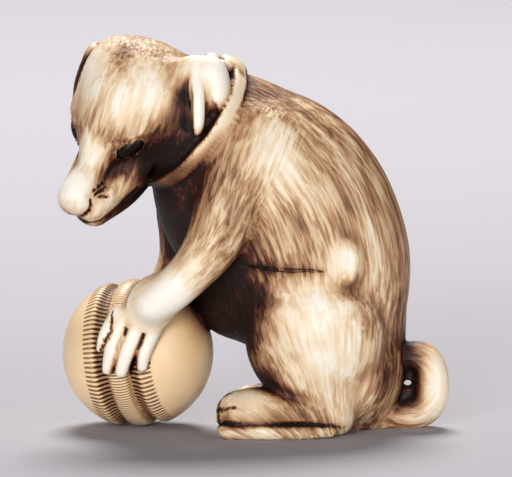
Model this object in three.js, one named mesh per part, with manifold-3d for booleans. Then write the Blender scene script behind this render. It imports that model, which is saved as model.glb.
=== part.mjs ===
// A netsuke: a seated dog that rests its forepaws on a thread-bound ball.
//
// The carving is one solid. Its form is laid on like clay: rolls and eggs are blended into one signed
// field, the skin of that field is walked cell by cell, and the skin is thinned to a light closed mesh.
// Manifold then cuts the two eye sockets and the cord hole. The horn eyes are solids of their own.
// Millimetres, +Z up. The dog faces -X with its head turned to -Y, and stands on z = 0.
import * as THREE from 'three';
import { mergeVertices } from 'three/addons/utils/BufferGeometryUtils.js';
import loadManifold from 'manifold-3d';

// ---- sizes -----------------------------------------------------------------------------------------

const CELL = 0.45;                 // edge of a cell when the skin is walked
const TRIANGLES = 8900;            // what the carving is thinned to
const HOLE_RADIUS = 0.42;          // the cord hole through the curl of the tail

const BALL = {
  at: [-12.4, 0.6, 7.9], radius: 8,
  yaw: 18, tilt: 6,                // degrees: how the seam's plane turns to the dog's left, and leans
  waist: 2.75, roll: 1.5, groove: 0.95,          // half-width of the waist, its rolled rim, its depth
  strap: 1.15, strapRise: 0.75,    // half-width of the strap in the waist, and how far it stands
};

const COLLAR = {
  at: [-6.6, -0.4, 32.5], axis: [0.75, 0.3, -0.58],
  radius: 7.4, halfWidth: 0.85, halfDepth: 0.55, round: 0.25,
  gap: { shift: -1.3, radius: 7.1, halfWidth: 0.4 },                // the groove between it and the cheek
};

// The head's own frame: where its middle is, and the ways its left side and its snout point.
const HEAD = { at: [-12.9, -2.0, 35.5], left: [0.82, -0.53, -0.23], snout: [-0.52, -0.49, -0.70] };

const EYE = { at: [3.3, 5.8, -0.05], half: [1.8, 1.05, 0.95], play: 0.25, sink: 0.25 };

// ---- small vector help -----------------------------------------------------------------------------

const dot = (a, b) => a[0] * b[0] + a[1] * b[1] + a[2] * b[2];
const cross = (a, b) => [a[1] * b[2] - a[2] * b[1], a[2] * b[0] - a[0] * b[2], a[0] * b[1] - a[1] * b[0]];
const plus = (a, b, k = 1) => [a[0] + k * b[0], a[1] + k * b[1], a[2] + k * b[2]];
const unit = (a) => a.map((c) => c / Math.hypot(...a));
const clamp = (x, low, high) => Math.min(Math.max(x, low), high);
const across = (v, axis) => unit(plus(v, axis, -dot(v, axis)));     // v made square to axis

const headLeft = unit(HEAD.left);
const headSnout = across(HEAD.snout, headLeft);
const headCrown = cross(headSnout, headLeft);

/** A direction given as (to its left, along its snout, to its crown) in the head's own frame. */
const headWay = ([l, s, c]) => plus(plus(plus([0, 0, 0], headLeft, l), headSnout, s), headCrown, c);

/** A place given the same way, in mm from the middle of the skull. */
const onHead = (place) => plus(HEAD.at, headWay(place));

// ---- forms: each has a box and a distance, negative inside -------------------------------------------

/** An egg with three half-axes; `along` and `side` are the ways of the first two. */
function egg(at, half, along = [1, 0, 0], side = [0, 1, 0]) {
  const a = unit(along);
  const b = across(side, a);
  const axes = [a, b, cross(a, b)];
  const reach = [0, 1, 2].map((k) => Math.hypot(...axes.map((axis, i) => axis[k] * half[i])));
  return {
    low: plus(at, reach, -1),
    high: plus(at, reach),
    distance(p) {
      const q = axes.map((axis) => dot(plus(p, at, -1), axis));
      const near = Math.hypot(q[0] / half[0], q[1] / half[1], q[2] / half[2]);
      const steep = Math.hypot(q[0] / half[0] ** 2, q[1] / half[1] ** 2, q[2] / half[2] ** 2);
      return near * (near - 1) / (steep + 1e-9);
    },
  };
}

/** The rows [x, y, z, radius] joined by a smooth curve, with `steps` short rows for each stretch. */
function smooth(rows, steps) {
  const last = rows.length - 1;
  const row = (i) => {
    if (i < 0) return rows[0].map((c, k) => 2 * c - rows[1][k]);
    if (i > last) return rows[last].map((c, k) => 2 * c - rows[last - 1][k]);
    return rows[i];
  };
  const out = [];
  for (let i = 0; i < last; i += 1) {
    const [a, b, c, d] = [row(i - 1), row(i), row(i + 1), row(i + 2)];
    for (let j = 0; j < steps; j += 1) {
      const t = j / steps;
      out.push(b.map((_, k) => 0.5 * (2 * b[k] + (c[k] - a[k]) * t
        + (2 * a[k] - 5 * b[k] + 4 * c[k] - d[k]) * t * t
        + (3 * b[k] - a[k] - 3 * c[k] + d[k]) * t ** 3)));
    }
  }
  out.push(rows[last]);
  return out;
}

/** A roll of clay along a curve through rows [x, y, z, radius]; `flat` squashes it along `way`. */
function roll(rows, { flat = 1, way = [0, 1, 0], steps = 5 } = {}) {
  const path = smooth(rows, steps);
  const middle = [0, 1, 2].map((k) => path.reduce((sum, row) => sum + row[k], 0) / path.length);
  const squash = unit(way);
  const spans = path.slice(1).map((end, i) => {
    const start = path[i];
    const run = plus(end, start, -1);
    const length = Math.hypot(...run.slice(0, 3));
    const slope = clamp((end[3] - start[3]) / length, -0.9, 0.9);
    return { start, run, length, lean: slope / Math.sqrt(1 - slope * slope), grow: end[3] - start[3] };
  });
  const reach = path.map((row) => row[3] * Math.max(1, flat));
  return {
    low: [0, 1, 2].map((k) => Math.min(...path.map((row, i) => row[k] - reach[i]))),
    high: [0, 1, 2].map((k) => Math.max(...path.map((row, i) => row[k] + reach[i]))),
    distance(p) {
      const q = plus(p, squash, dot(plus(p, middle, -1), squash) * (1 / flat - 1));
      let best = Infinity;
      for (const { start, run, length, lean, grow } of spans) {
        const v = plus(q, start, -1);
        const t = dot(v, run) / length ** 2;
        const out = Math.hypot(...plus(v, run, -t));
        const foot = clamp(t + out * lean / length, 0, 1);
        best = Math.min(best, Math.hypot(out, (t - foot) * length) - start[3] - foot * grow);
      }
      return best * Math.min(1, Math.sqrt(flat));
    },
  };
}

/** The ball: a sphere whose waist rolls in to a groove, with a strap standing in the groove. */
function boundBall({ at, radius, yaw, tilt, waist, roll: rim, groove, strap, strapRise }) {
  const [y, t] = [yaw, tilt].map(THREE.MathUtils.degToRad);
  const seam = unit([Math.cos(y) * Math.cos(t), -Math.sin(y), Math.sin(t)]);
  return {
    low: plus(at, [radius, radius, radius], -1),
    high: plus(at, [radius, radius, radius]),
    distance(p) {
      const q = plus(p, at, -1);
      const off = Math.abs(dot(q, seam));
      const inward = clamp((waist - off) / rim, 0, 1);
      const dip = groove * inward ** 2 * (3 - 2 * inward);
      const crown = 1 - 0.25 * clamp(off / 0.9, 0, 1) ** 2;
      const rise = strapRise * clamp((strap - off) / 0.3, 0, 1) * crown;
      return Math.hypot(...q) - (radius - dip + rise);
    },
  };
}

/** A ring of rounded-square section, `shift` along the collar's axis. */
function band({ at, axis, radius, halfWidth, halfDepth, round, shift = 0 }) {
  const n = unit(axis);
  const middle = plus(at, n, shift);
  const reach = radius + halfDepth + 0.6;
  return {
    low: plus(middle, [reach, reach, reach], -1),
    high: plus(middle, [reach, reach, reach]),
    distance(p) {
      const q = plus(p, middle, -1);
      const s = dot(q, n);
      const out = Math.abs(Math.hypot(...plus(q, n, -s)) - radius) - (halfDepth - round);
      const off = Math.abs(s) - (halfWidth - round);
      return Math.hypot(Math.max(out, 0), Math.max(off, 0)) + Math.min(Math.max(out, off), 0) - round;
    },
  };
}

/** The same form on the other side of the head: rows or places with their first number turned. */
const sided = (side, rows) => rows.map(([l, ...rest]) => [side * l, ...rest]);

/** A roll whose rows are given in the head's frame. */
const headRoll = (rows, shape) => roll(rows.map(([l, s, c, r]) => [...onHead([l, s, c]), r]), shape);

/** An egg in the head's frame, its half-axes along left, snout and crown unless told otherwise. */
const headEgg = (place, half, along = [1, 0, 0], side = [0, 1, 0]) =>
  egg(onHead(place), half, headWay(along), headWay(side));

/** The long way of an eye and the way it looks, on one side of the head. */
const eyeWays = (side) => [[-0.62 * side, 0.74, -0.24], [0.75 * side, 0.6, 0.2]];

// ---- clay: the whole field on a grid -----------------------------------------------------------------

const GRID = { low: [-21, -12.5, -1], high: [23, 12.5, 43] };
GRID.cells = GRID.high.map((c, k) => Math.ceil((c - GRID.low[k]) / CELL));
const COUNT = GRID.cells.map((n) => n + 1);
const STRIDE = [1, COUNT[0], COUNT[0] * COUNT[1]];
const clay = new Float64Array(COUNT[0] * COUNT[1] * COUNT[2]).fill(50);

/** Runs a change over the grid points that lie within `margin` of a form's box. */
function overBox(form, margin, change) {
  const first = form.low.map((c, k) => Math.max(0, Math.ceil((c - margin - GRID.low[k]) / CELL)));
  const last = form.high.map((c, k) => Math.min(COUNT[k] - 1, Math.floor((c + margin - GRID.low[k]) / CELL)));
  for (let k = first[2]; k <= last[2]; k += 1) {
    for (let j = first[1]; j <= last[1]; j += 1) {
      for (let i = first[0]; i <= last[0]; i += 1) {
        const at = i + j * STRIDE[1] + k * STRIDE[2];
        const p = [GRID.low[0] + i * CELL, GRID.low[1] + j * CELL, GRID.low[2] + k * CELL];
        clay[at] = change(clay[at], form.distance(p));
      }
    }
  }
}

/** Presses a form on, with a fillet about `fillet` wide. */
function add(form, fillet) {
  overBox(form, fillet + 2.5, (a, b) => {
    const h = clamp(0.5 + 0.5 * (a - b) / fillet, 0, 1);
    return a + (b - a) * h - fillet * h * (1 - h);
  });
}

/** Takes a form away, with the edge eased by about `ease`. */
function cut(form, ease) {
  overBox(form, ease + 1, (a, b) => {
    const h = clamp(0.5 - 0.5 * (a + b) / ease, 0, 1);
    return a + (-b - a) * h + ease * h * (1 - h);
  });
}

function torso() {
  add(roll([[-5.8, 0, 31.7, 5.4], [-2.7, 0, 28.5, 8.4], [1.8, 0, 24, 11.5], [5.1, 0, 18.5, 11.2],
    [7.7, 0, 13, 8.4], [9.3, 0, 7.4, 6.5], [10, 0, 3.5, 5]], { flat: 0.78, steps: 9 }), 0.5);
  add(roll([[-11.1, -1.8, 34.7, 5.6], [-6.9, -0.9, 33.1, 6.3], [-3.2, 0, 30.7, 7]]), 2);
  add(egg([-5.2, -0.6, 34.4], [4.2, 5, 4.6]), 1.2);                   // nape
  add(egg(COLLAR.at, [2.6, 6.8, 6.8], COLLAR.axis), 1.2);             // neck
  add(egg([-6, 1, 23.6], [3.9, 6, 6], [1, 0, 0.35]), 1.5);            // chest
  add(egg([-2.6, 0, 13.4], [4, 4.2, 3.6], [0.8, 0, -0.6]), 1.5);      // belly
  add(egg([9.7, 0, 5.9], [5.9, 8, 5.8]), 1.5);                        // rump
}

function forelegs() {
  add(egg([0.3, -4.4, 28.2], [6, 4.2, 6.6], [0.9, 0, -0.35]), 1.5);
  add(roll([[-1.2, -5.2, 28.3, 4.4], [-2.9, -6.9, 24, 3.6], [-4.3, -8.1, 20.8, 3], [-6.5, -8.9, 17.9, 2.4],
    [-9, -9, 15.5, 2.2], [-10.6, -8.8, 14.3, 1.9]]), 1);
  add(egg([-10.8, -8, 14.2], [3.3, 2.6, 1.3], [-0.45, 0.14, -0.9], [0.9, 0, -0.45]), 1);
  add(egg([-2, 4, 27.5], [5.4, 3.8, 6], [0.9, 0, -0.35]), 1.5);
  add(roll([[-4.2, 4.6, 27.4, 4.2], [-7.1, 6.2, 23.5, 3.3], [-7.5, 7.2, 19.7, 2.7], [-7.9, 7.8, 16.7, 2.4],
    [-9.5, 8, 13.7, 2.1], [-11.3, 8.2, 12.3, 2.1]]), 1);
  add(egg([-12.4, 8.4, 11.1], [3.7, 3.2, 1.7], [-0.4, 0.1, -0.9], [0.9, 0, -0.4]), 0.8);
}

/** The toes of a forepaw, spread over the ball: rows of where each starts, bends and ends. */
function fingers() {
  const near = [
    [[-14.3, -6.7, 13, 0.9], [-15.7, -6.9, 10.8, 0.72], [-16.2, -6.7, 9.3, 0.52]],
    [[-13.4, -6.9, 12.9, 1.15], [-14.7, -7.1, 10.2, 0.9], [-15.1, -7.2, 8.9, 0.82], [-15.5, -7, 7.1, 0.62]],
    [[-11.8, -7.2, 12.8, 1.2], [-12.9, -7.5, 10.3, 0.95], [-13.5, -7.7, 8.9, 0.85], [-14.1, -7.6, 6.9, 0.66]],
    [[-10.4, -7.1, 12.7, 1.3], [-11.2, -7.4, 10.3, 0.9], [-11.7, -7.7, 8.8, 0.75], [-11.9, -7.6, 7.5, 0.6]],
  ];
  near.forEach((rows) => add(roll(rows), 0.35));
}

function thighsAndFeet() {
  for (const side of [-1, 1]) {
    const far = side > 0;
    const back = far ? 1.2 : 0;                    // the far foot is set back
    const low = far ? 0.72 : 1;                    // and lies flatter
    const [x0, z0] = far ? [6.8, 9.1] : [6.4, 10.2];
    add(egg([x0, 4.8 * side, z0], [7.4, 5.2, 7.6]), 0.5);
    add(egg([x0 - 3, 4.9 * side, z0 + 3], [4.2, 4.4, 4.3]), 1);               // knee
    add(roll([[4.8, 6.6 * side, far ? 4.3 : 5.9, 3], [7.9, 6.4 * side, far ? 1.6 : 3.2, 2.6]]), 1.5);
    add(egg([9.4, 7.6 * side, far ? 16.7 : 18.6], [1.6, 0.8, 2.2]), 1.2);      // hip bone
    add(roll([[-1.7, 7.2, 2.5, 2.35], [0.7, 7.2, 2.7, 2.5], [4.8, 7.2, 2.4, 2.3], [8.5, 6.8, 2, 2]]
      .map(([x, y, z, r]) => [x + back, y * side, z * low, r * low]), { flat: 1.25 }), 0.6);
    const toes = [[-3.3, 9.2, 0.95, 0.8], [-3.4, 8.6, 2.1, 0.82], [-3.2, 7.3, 3, 0.9], [-3.1, 5.8, 2.9, 0.85]];
    for (const [x, y, up, thick] of toes) {
      const [z, r] = [up * low, thick * (1 + low) / 2];
      add(roll([[x + 1.7 + back, (y - 0.4) * side, z + 0.3, r], [x + back, y * side, z, 0.9 * r]]), 0.25);
    }
    add(roll([[-2.9, 9.5, 0.75, 0.8], [0.7, 9.9, 0.75, 0.85], [4.8, 9.7, 0.75, 0.8], [7.9, 8.9, 0.8, 0.7]]
      .map(([x, y, z, r]) => [x + back, y * side, z, r])), 0.2);                 // outer edge of the sole
  }
}

function tail() {
  add(roll([[12.7, 0, 1.4, 2.2], [15.6, 0, 1.3, 1.9], [18.1, -0.3, 2.4, 1.95], [18.7, -0.5, 5.1, 1.9],
    [18, -0.5, 7.2, 1.75], [16.3, -0.4, 7.6, 1.5], [15.5, -0.2, 6.6, 1]]), 0.4);
  add(egg([16.5, 0.2, 4.4], [2.2, 1.2, 3.2]), 0.4);
}

function skullAndMuzzle() {
  add(headEgg([0.15, -0.1, 0], [6.1, 6.5, 5.75]), 1.5);
  add(headEgg([0, 2.6, -3.8], [4.7, 4.8, 4.5]), 1.5);                 // cheeks
  add(headRoll([[0, 4.6, 0.3, 3.1], [0, 8.6, -1.3, 1.75], [0, 12.2, -1.7, 1.75]], { steps: 8 }), 1.2);
  for (const side of [1, -1]) {
    add(headRoll(sided(side, [[2.1, 4.6, -4.6, 2.5], [1.75, 8.6, -4.2, 1.95], [1.15, 11.9, -3.7, 1.75]]),
      { steps: 8 }), 0.9);                                            // lips
  }
  add(headEgg([0, 12.9, -2.1], [1.9, 1.3, 1.9]), 0.25);               // nose
  add(headRoll([[0, 2.6, -7, 2.3], [0, 7.2, -7.1, 2], [0, 11.5, -6.2, 1.35]],
    { flat: 1.45, way: headLeft }), 0.12);                            // lower jaw
  for (const side of [1, -1]) {
    add(headEgg([2.6 * side, 4.2, 1.5], [2.1, 1.8, 1], [0.8 * side, -0.55, 0.1], [0.55 * side, 0.8, 0]), 1.2);
  }
}

function ears() {
  add(headRoll([[4.6, -2.8, 2.8, 1.2], [6.4, -3.9, 2.9, 1.5], [7.8, -4.2, 2.2, 1.8]]), 1.6);
  add(headEgg([8.5, -3.3, 0.9], [3.6, 1.85, 2], [0.2, 0.66, -0.73], [0.7, -0.6, -0.4]), 0.8);
  add(headRoll([[7.3, -3.4, 3.1, 1], [8.4, -1, 2.3, 0.9], [9.1, 0.8, 0.9, 0.85], [9.3, 1.4, 0.2, 0.6]]), 0.35);
  cut(headRoll([[9.6, -1.9, 2.6, 0.2], [9.9, -1.4, 1.5, 0.45], [10.1, -0.9, 0.3, 0.7]]), 0.15);
  cut(headRoll([[7.3, -1.6, 3.8, 0.4], [7.9, 0.1, 2.5, 0.7], [8.4, 1.7, 0.7, 0.9]]), 0.2);
  add(headEgg([-2, -1.6, 1.9], [3.3, 3.3, 3.3]), 1.5);                                 // far ear
  add(headRoll([[-5.6, -2.4, 2, 0.8], [-6.1, -1.4, 1.5, 0.75], [-5.8, 1, 1, 0.65], [-5.1, 2.9, 0.8, 0.5]]), 0.25);
  add(headEgg([-6.3, -2.6, -0.6], [1, 1.9, 3.2]), 0.4);
  cut(headRoll([[-5.2, -1.5, 3.9, 0.3], [-5.2, -0.1, 3.2, 0.45], [-4.6, 1.9, 2.5, 0.3]]), 0.15);
}

function collarAndBow() {
  add(band(COLLAR), 0.15);
  add(egg([-4.5, -1, 39.3], [0.9, 1.1, 0.7], [0.8, 0, -0.3]), 0.2);
  add(egg([-2.3, 0.2, 38.6], [1.7, 2.2, 0.8], [0.8, 0, -0.5]), 0.2);
  add(egg([-3.4, -2.2, 38.6], [1.2, 1, 0.8], [0.8, 0, -0.3]), 0.2);
}

/** The flat underside: nothing is left below z = 0. */
function standFlat() {
  for (let k = 0; k < COUNT[2]; k += 1) {
    const z = GRID.low[2] + k * CELL;
    const start = k * STRIDE[2];
    for (let at = start; at < start + STRIDE[2]; at += 1) clay[at] = Math.max(clay[at], -z);
  }
}

// ---- skin: the zero surface of the clay, walked in tetrahedra ---------------------------------------

const TURNS = [[0, 1, 2], [1, 2, 0], [2, 0, 1], [0, 2, 1], [2, 1, 0], [1, 0, 2]];     // last three turn left
const ONE_IN = [[1, 2, 3], [0, 3, 2], [0, 1, 3], [0, 2, 1]];
const TWO_IN = { 3: [0, 1, 2, 3], 5: [0, 2, 3, 1], 9: [0, 3, 1, 2], 6: [1, 2, 0, 3], 10: [1, 3, 2, 0], 12: [2, 3, 0, 1] };

function walkSkin() {
  const points = [];
  const faces = [];
  const seen = new Map();

  const crossing = (a, b) => {
    const key = Math.min(a, b) * clay.length + Math.max(a, b);
    if (!seen.has(key)) {
      const place = (at) => [at % STRIDE[1], Math.floor(at / STRIDE[1]) % COUNT[1], Math.floor(at / STRIDE[2])];
      const [p, q] = [place(Math.min(a, b)), place(Math.max(a, b))];
      const [u, v] = [clay[Math.min(a, b)], clay[Math.max(a, b)]];
      const t = clamp(u / (u - v), 0.01, 0.99);
      seen.set(key, points.length);
      points.push(p.map((c, k) => GRID.low[k] + CELL * (c + t * (q[k] - c))));
    }
    return seen.get(key);
  };

  const tetra = (corners, left) => {
    const inside = corners.map((at) => clay[at] < 0);
    const mask = inside.reduce((sum, flag, i) => sum + (flag ? 1 << i : 0), 0);
    if (mask === 0 || mask === 15) return;
    const face = (a, b, c, turned) => faces.push(turned ? [a, c, b] : [a, b, c]);
    const count = inside.filter(Boolean).length;
    if (count === 2) {
      const [i, j, k, l] = TWO_IN[mask].map((at) => corners[at]);
      const ring = [crossing(i, k), crossing(i, l), crossing(j, l), crossing(j, k)];
      face(ring[0], ring[1], ring[2], left);
      face(ring[0], ring[2], ring[3], left);
      return;
    }
    const lone = inside.indexOf(count === 1);
    const [a, b, c] = ONE_IN[lone].map((at) => crossing(corners[lone], corners[at]));
    face(a, b, c, left !== (count === 3));
  };

  for (let k = 0; k < GRID.cells[2]; k += 1) {
    for (let j = 0; j < GRID.cells[1]; j += 1) {
      for (let i = 0; i < GRID.cells[0]; i += 1) {
        const at = i + j * STRIDE[1] + k * STRIDE[2];
        if (Math.abs(clay[at]) > 3 * CELL) continue;
        TURNS.forEach(([a, b, c], n) => {
          const second = at + STRIDE[a];
          const third = second + STRIDE[b];
          tetra([at, second, third, third + STRIDE[c]], n > 2);
        });
      }
    }
  }
  return { points, faces };
}

// ---- thinning: the cheapest edge closes first, by how far its end would leave the planes around it ---

class Queue {
  constructor() { this.items = []; }

  push(item) {
    const heap = this.items;
    let at = heap.push(item) - 1;
    while (at > 0) {
      const up = (at - 1) >> 1;
      if (heap[up].cost <= heap[at].cost) break;
      [heap[up], heap[at]] = [heap[at], heap[up]];
      at = up;
    }
  }

  pop() {
    const heap = this.items;
    const top = heap[0];
    const last = heap.pop();
    if (heap.length === 0) return top;
    heap[0] = last;
    for (let at = 0; ;) {
      let least = at;
      for (const down of [2 * at + 1, 2 * at + 2]) {
        if (down < heap.length && heap[down].cost < heap[least].cost) least = down;
      }
      if (least === at) return top;
      [heap[least], heap[at]] = [heap[at], heap[least]];
      at = least;
    }
  }
}

/** The squared distance to a plane, as the ten numbers of a symmetric form. */
function planeForm(n, d, weight) {
  const [a, b, c] = n;
  return [a * a, a * b, a * c, a * d, b * b, b * c, b * d, c * c, c * d, d * d].map((x) => x * weight);
}

const formAt = (q, [x, y, z]) => q[0] * x * x + 2 * q[1] * x * y + 2 * q[2] * x * z + 2 * q[3] * x
  + q[4] * y * y + 2 * q[5] * y * z + 2 * q[6] * y + q[7] * z * z + 2 * q[8] * z + q[9];

/** The place where the form is least, or null where it is too flat to tell. */
function leastPlace(q) {
  const rows = [[q[0], q[1], q[2]], [q[1], q[4], q[5]], [q[2], q[5], q[7]]];
  const right = [-q[3], -q[6], -q[8]];
  const whole = dot(rows[0], cross(rows[1], rows[2]));
  const size = (q[0] + q[4] + q[7]) / 3;
  if (Math.abs(whole) < 1e-3 * size ** 3) return null;
  return [0, 1, 2].map((k) => {
    const swapped = rows.map((row, i) => row.map((c, j) => (j === k ? right[i] : c)));
    return dot(swapped[0], cross(swapped[1], swapped[2])) / whole;
  });
}

function thin({ points, faces }, target) {
  const around = points.map(() => new Set());
  faces.forEach((face, f) => face.forEach((v) => around[v].add(f)));
  const forms = points.map((p) => planeForm([1, 0, 0], -p[0], 1e-4)
    .map((x, i) => x + planeForm([0, 1, 0], -p[1], 1e-4)[i] + planeForm([0, 0, 1], -p[2], 1e-4)[i]));
  const areaNormal = (face, moved, place) => {
    const [a, b, c] = face.map((v) => (moved.includes(v) ? place : points[v]));
    return cross(plus(b, a, -1), plus(c, a, -1));
  };
  for (const face of faces) {
    const n = areaNormal(face, [], null);
    const size = Math.hypot(...n);
    if (size < 1e-12) continue;
    const way = n.map((c) => c / size);
    const form = planeForm(way, -dot(way, points[face[0]]), size);
    face.forEach((v) => form.forEach((x, i) => { forms[v][i] += x; }));
  }
  const neighbours = (v) => new Set([...around[v]].flatMap((f) => faces[f]).filter((w) => w !== v));
  const age = points.map(() => 0);
  const queue = new Queue();
  const offer = (a, b) => {
    const form = forms[a].map((x, i) => x + forms[b][i]);
    const middle = points[a].map((c, k) => (c + points[b][k]) / 2);
    const least = leastPlace(form);
    const near = least && Math.hypot(...plus(least, middle, -1)) < Math.hypot(...plus(points[a], points[b], -1)) * 1.5;
    const places = [near ? least : middle, points[a], points[b]];
    const costs = places.map((p) => formAt(form, p));
    const best = costs.indexOf(Math.min(...costs));
    queue.push({ cost: Math.max(costs[best], 0), a, b, place: places[best], age: age[a] + age[b] });
  };
  points.forEach((_, v) => neighbours(v).forEach((w) => { if (v < w) offer(v, w); }));

  let left = faces.length;
  while (left > target && queue.items.length) {
    const { a, b, place, age: when } = queue.pop();
    if (age[a] + age[b] !== when || !around[a].size || !around[b].size) continue;
    const shared = [...neighbours(a)].filter((v) => neighbours(b).has(v));
    const closing = [...around[a]].filter((f) => around[b].has(f));
    if (shared.length !== 2 || closing.length !== 2) continue;
    const staying = [...around[a], ...around[b]].filter((f) => !closing.includes(f));
    const turns = staying.some((f) => {
      const [before, after] = [areaNormal(faces[f], [], null), areaNormal(faces[f], [a, b], place)];
      const [was, is] = [Math.hypot(...before), Math.hypot(...after)];
      return was > 1e-7 && dot(before, after) < 0.3 * was * is;
    });
    if (turns) continue;
    for (const f of closing) faces[f].forEach((v) => around[v].delete(f));
    for (const f of around[b]) {
      faces[f] = faces[f].map((v) => (v === b ? a : v));
      around[a].add(f);
    }
    around[b].clear();
    points[a] = place;
    forms[a] = forms[a].map((x, i) => x + forms[b][i]);
    age[a] += 1;
    age[b] += 1;
    left -= 2;
    neighbours(a).forEach((v) => offer(a, v));
  }
  const kept = faces.filter((face, f) => face.every((v) => around[v].has(f)));
  const used = [...new Set(kept.flat())];
  const renumbered = new Map(used.map((v, i) => [v, i]));
  return { points: used.map((v) => points[v]), faces: kept.map((face) => face.map((v) => renumbered.get(v))) };
}

// ---- booleans and geometry --------------------------------------------------------------------------

const wasm = await loadManifold();
wasm.setup();

const solidOf = (positions, indices) => new wasm.Manifold(new wasm.Mesh({
  numProp: 3, vertProperties: Float32Array.from(positions), triVerts: Uint32Array.from(indices),
}));

function solidOfGeometry(geometry) {
  geometry.deleteAttribute('normal');
  geometry.deleteAttribute('uv');
  const merged = mergeVertices(geometry);
  return solidOf(merged.attributes.position.array, merged.index.array);
}

function geometryOfSolid(solid) {
  const mesh = solid.getMesh();
  const geometry = new THREE.BufferGeometry();
  geometry.setAttribute('position', new THREE.Float32BufferAttribute(mesh.vertProperties, mesh.numProp));
  geometry.setIndex([...mesh.triVerts]);
  geometry.computeVertexNormals();
  return geometry;
}

/** A unit ball turned, stretched and put where an egg is. */
function eggGeometry(at, half, along, side, detail) {
  const a = unit(along);
  const b = across(side, a);
  const [x, y, z] = [a, b, cross(a, b)].map((axis, i) => new THREE.Vector3(...axis).multiplyScalar(half[i]));
  const turn = new THREE.Matrix4().makeBasis(x, y, z).setPosition(...at);
  return new THREE.IcosahedronGeometry(1, detail).applyMatrix4(turn);
}

/** An eye's solid, grown by `grow` for the socket it sits in. */
function eyeGeometry(side, grow) {
  const [along, look] = eyeWays(side);
  const place = plus([side * EYE.at[0], EYE.at[1], EYE.at[2]], unit(look), -EYE.sink);
  return eggGeometry(onHead(place), EYE.half.map((h) => h + grow), headWay(along), headWay(look), 2);
}

function cordHole() {
  const drill = new THREE.CylinderGeometry(HOLE_RADIUS, HOLE_RADIUS, 8, 10);
  return drill.translate(16.2, 0, 4.7);                   // a cylinder's axis is already along Y
}

function carvingGeometry() {
  torso();
  forelegs();
  add(boundBall(BALL), 0.15);
  fingers();
  thighsAndFeet();
  tail();
  skullAndMuzzle();
  cut(band({ ...COLLAR, ...COLLAR.gap }), 0.3);
  ears();
  collarAndBow();
  standFlat();
  const { points, faces } = thin(walkSkin(), TRIANGLES);
  const settled = points.map(([x, y, z]) => [x, y, Math.abs(z) < 0.05 ? 0 : z]);
  let solid = solidOf(settled.flat(), faces.flat());
  for (const side of [1, -1]) solid = solid.subtract(solidOfGeometry(eyeGeometry(side, EYE.play)));
  solid = solid.subtract(solidOfGeometry(cordHole()));
  return geometryOfSolid(solid);
}

// ---- the object ---------------------------------------------------------------------------------------

const ivory = new THREE.MeshStandardMaterial({ color: '#d8bd92', roughness: 0.35, metalness: 0 });
const horn = new THREE.MeshStandardMaterial({ color: '#1a110d', roughness: 0.12, metalness: 0 });

const group = new THREE.Group();

function place(name, geometry, material) {
  const mesh = new THREE.Mesh(geometry, material);
  mesh.name = name;
  group.add(mesh);
}

place('dog_and_ball', carvingGeometry(), ivory);
place('left_eye', eyeGeometry(1, 0), horn);
place('right_eye', eyeGeometry(-1, 0), horn);

const box = new THREE.Box3().setFromObject(group);
group.position.set(-(box.min.x + box.max.x) / 2, -(box.min.y + box.max.y) / 2, 0);

export default group;
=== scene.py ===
"""A netsuke: a seated dog, carved in ivory, that rests its forepaws on a thread-bound ball."""

import bmesh
import bpy
import numpy as np
from bpy.props import FloatProperty, PointerProperty, StringProperty
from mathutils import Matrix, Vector


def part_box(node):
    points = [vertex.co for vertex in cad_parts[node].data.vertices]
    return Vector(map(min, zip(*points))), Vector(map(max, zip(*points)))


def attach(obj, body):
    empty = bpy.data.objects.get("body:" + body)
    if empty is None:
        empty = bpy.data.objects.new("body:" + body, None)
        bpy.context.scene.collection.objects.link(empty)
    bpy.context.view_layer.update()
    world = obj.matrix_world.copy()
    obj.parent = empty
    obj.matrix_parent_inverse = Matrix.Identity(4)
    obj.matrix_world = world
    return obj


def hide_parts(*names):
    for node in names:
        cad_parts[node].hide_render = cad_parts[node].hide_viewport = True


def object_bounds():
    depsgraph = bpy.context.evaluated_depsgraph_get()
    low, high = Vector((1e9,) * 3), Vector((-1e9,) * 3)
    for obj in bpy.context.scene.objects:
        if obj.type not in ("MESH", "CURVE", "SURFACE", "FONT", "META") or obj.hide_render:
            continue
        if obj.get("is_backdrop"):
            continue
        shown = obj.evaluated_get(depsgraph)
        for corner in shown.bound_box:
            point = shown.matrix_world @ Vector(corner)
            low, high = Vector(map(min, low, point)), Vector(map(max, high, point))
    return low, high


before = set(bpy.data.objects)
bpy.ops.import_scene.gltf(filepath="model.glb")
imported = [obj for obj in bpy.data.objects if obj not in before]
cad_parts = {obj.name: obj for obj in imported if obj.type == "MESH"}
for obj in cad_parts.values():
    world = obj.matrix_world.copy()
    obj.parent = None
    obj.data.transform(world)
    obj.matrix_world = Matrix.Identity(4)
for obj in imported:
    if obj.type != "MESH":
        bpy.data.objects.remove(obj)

bl_info = {
    "name": "Netsuke dog with a ball",
    "version": (1, 0, 0),
    "blender": (4, 5, 0),
    "location": "3D View > Sidebar > Netsuke",
    "description": "Makes the ivory carving, its inlaid horn eyes and a plain studio",
    "category": "Object",
}

MM = 0.001
BODY = "root"
CAD_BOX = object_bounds()


# ---- sizes and colours that a user would change -----------------------------------------------------

class CarvingSizes(bpy.types.PropertyGroup):
    """Sizes of the carving, in millimetres as a carver would give them."""
    step: FloatProperty(name="Mesh step", description="Edge of a cell of the carving's skin, mm",
                        default=0.325, min=0.15, max=1.0)
    ball_radius: FloatProperty(name="Ball radius", description="Radius of the ball, mm", default=8.0)
    hair_spacing: FloatProperty(name="Hair spacing", description="Distance between engraved hairs, mm",
                                default=0.36, min=0.1, max=2.0)
    hair_length: FloatProperty(name="Hair length", description="Length of a hair over its spacing", default=9.0)
    stitch_spacing: FloatProperty(name="Stitch spacing", description="Distance between the ball's stitches, mm",
                                  default=0.56)


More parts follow.
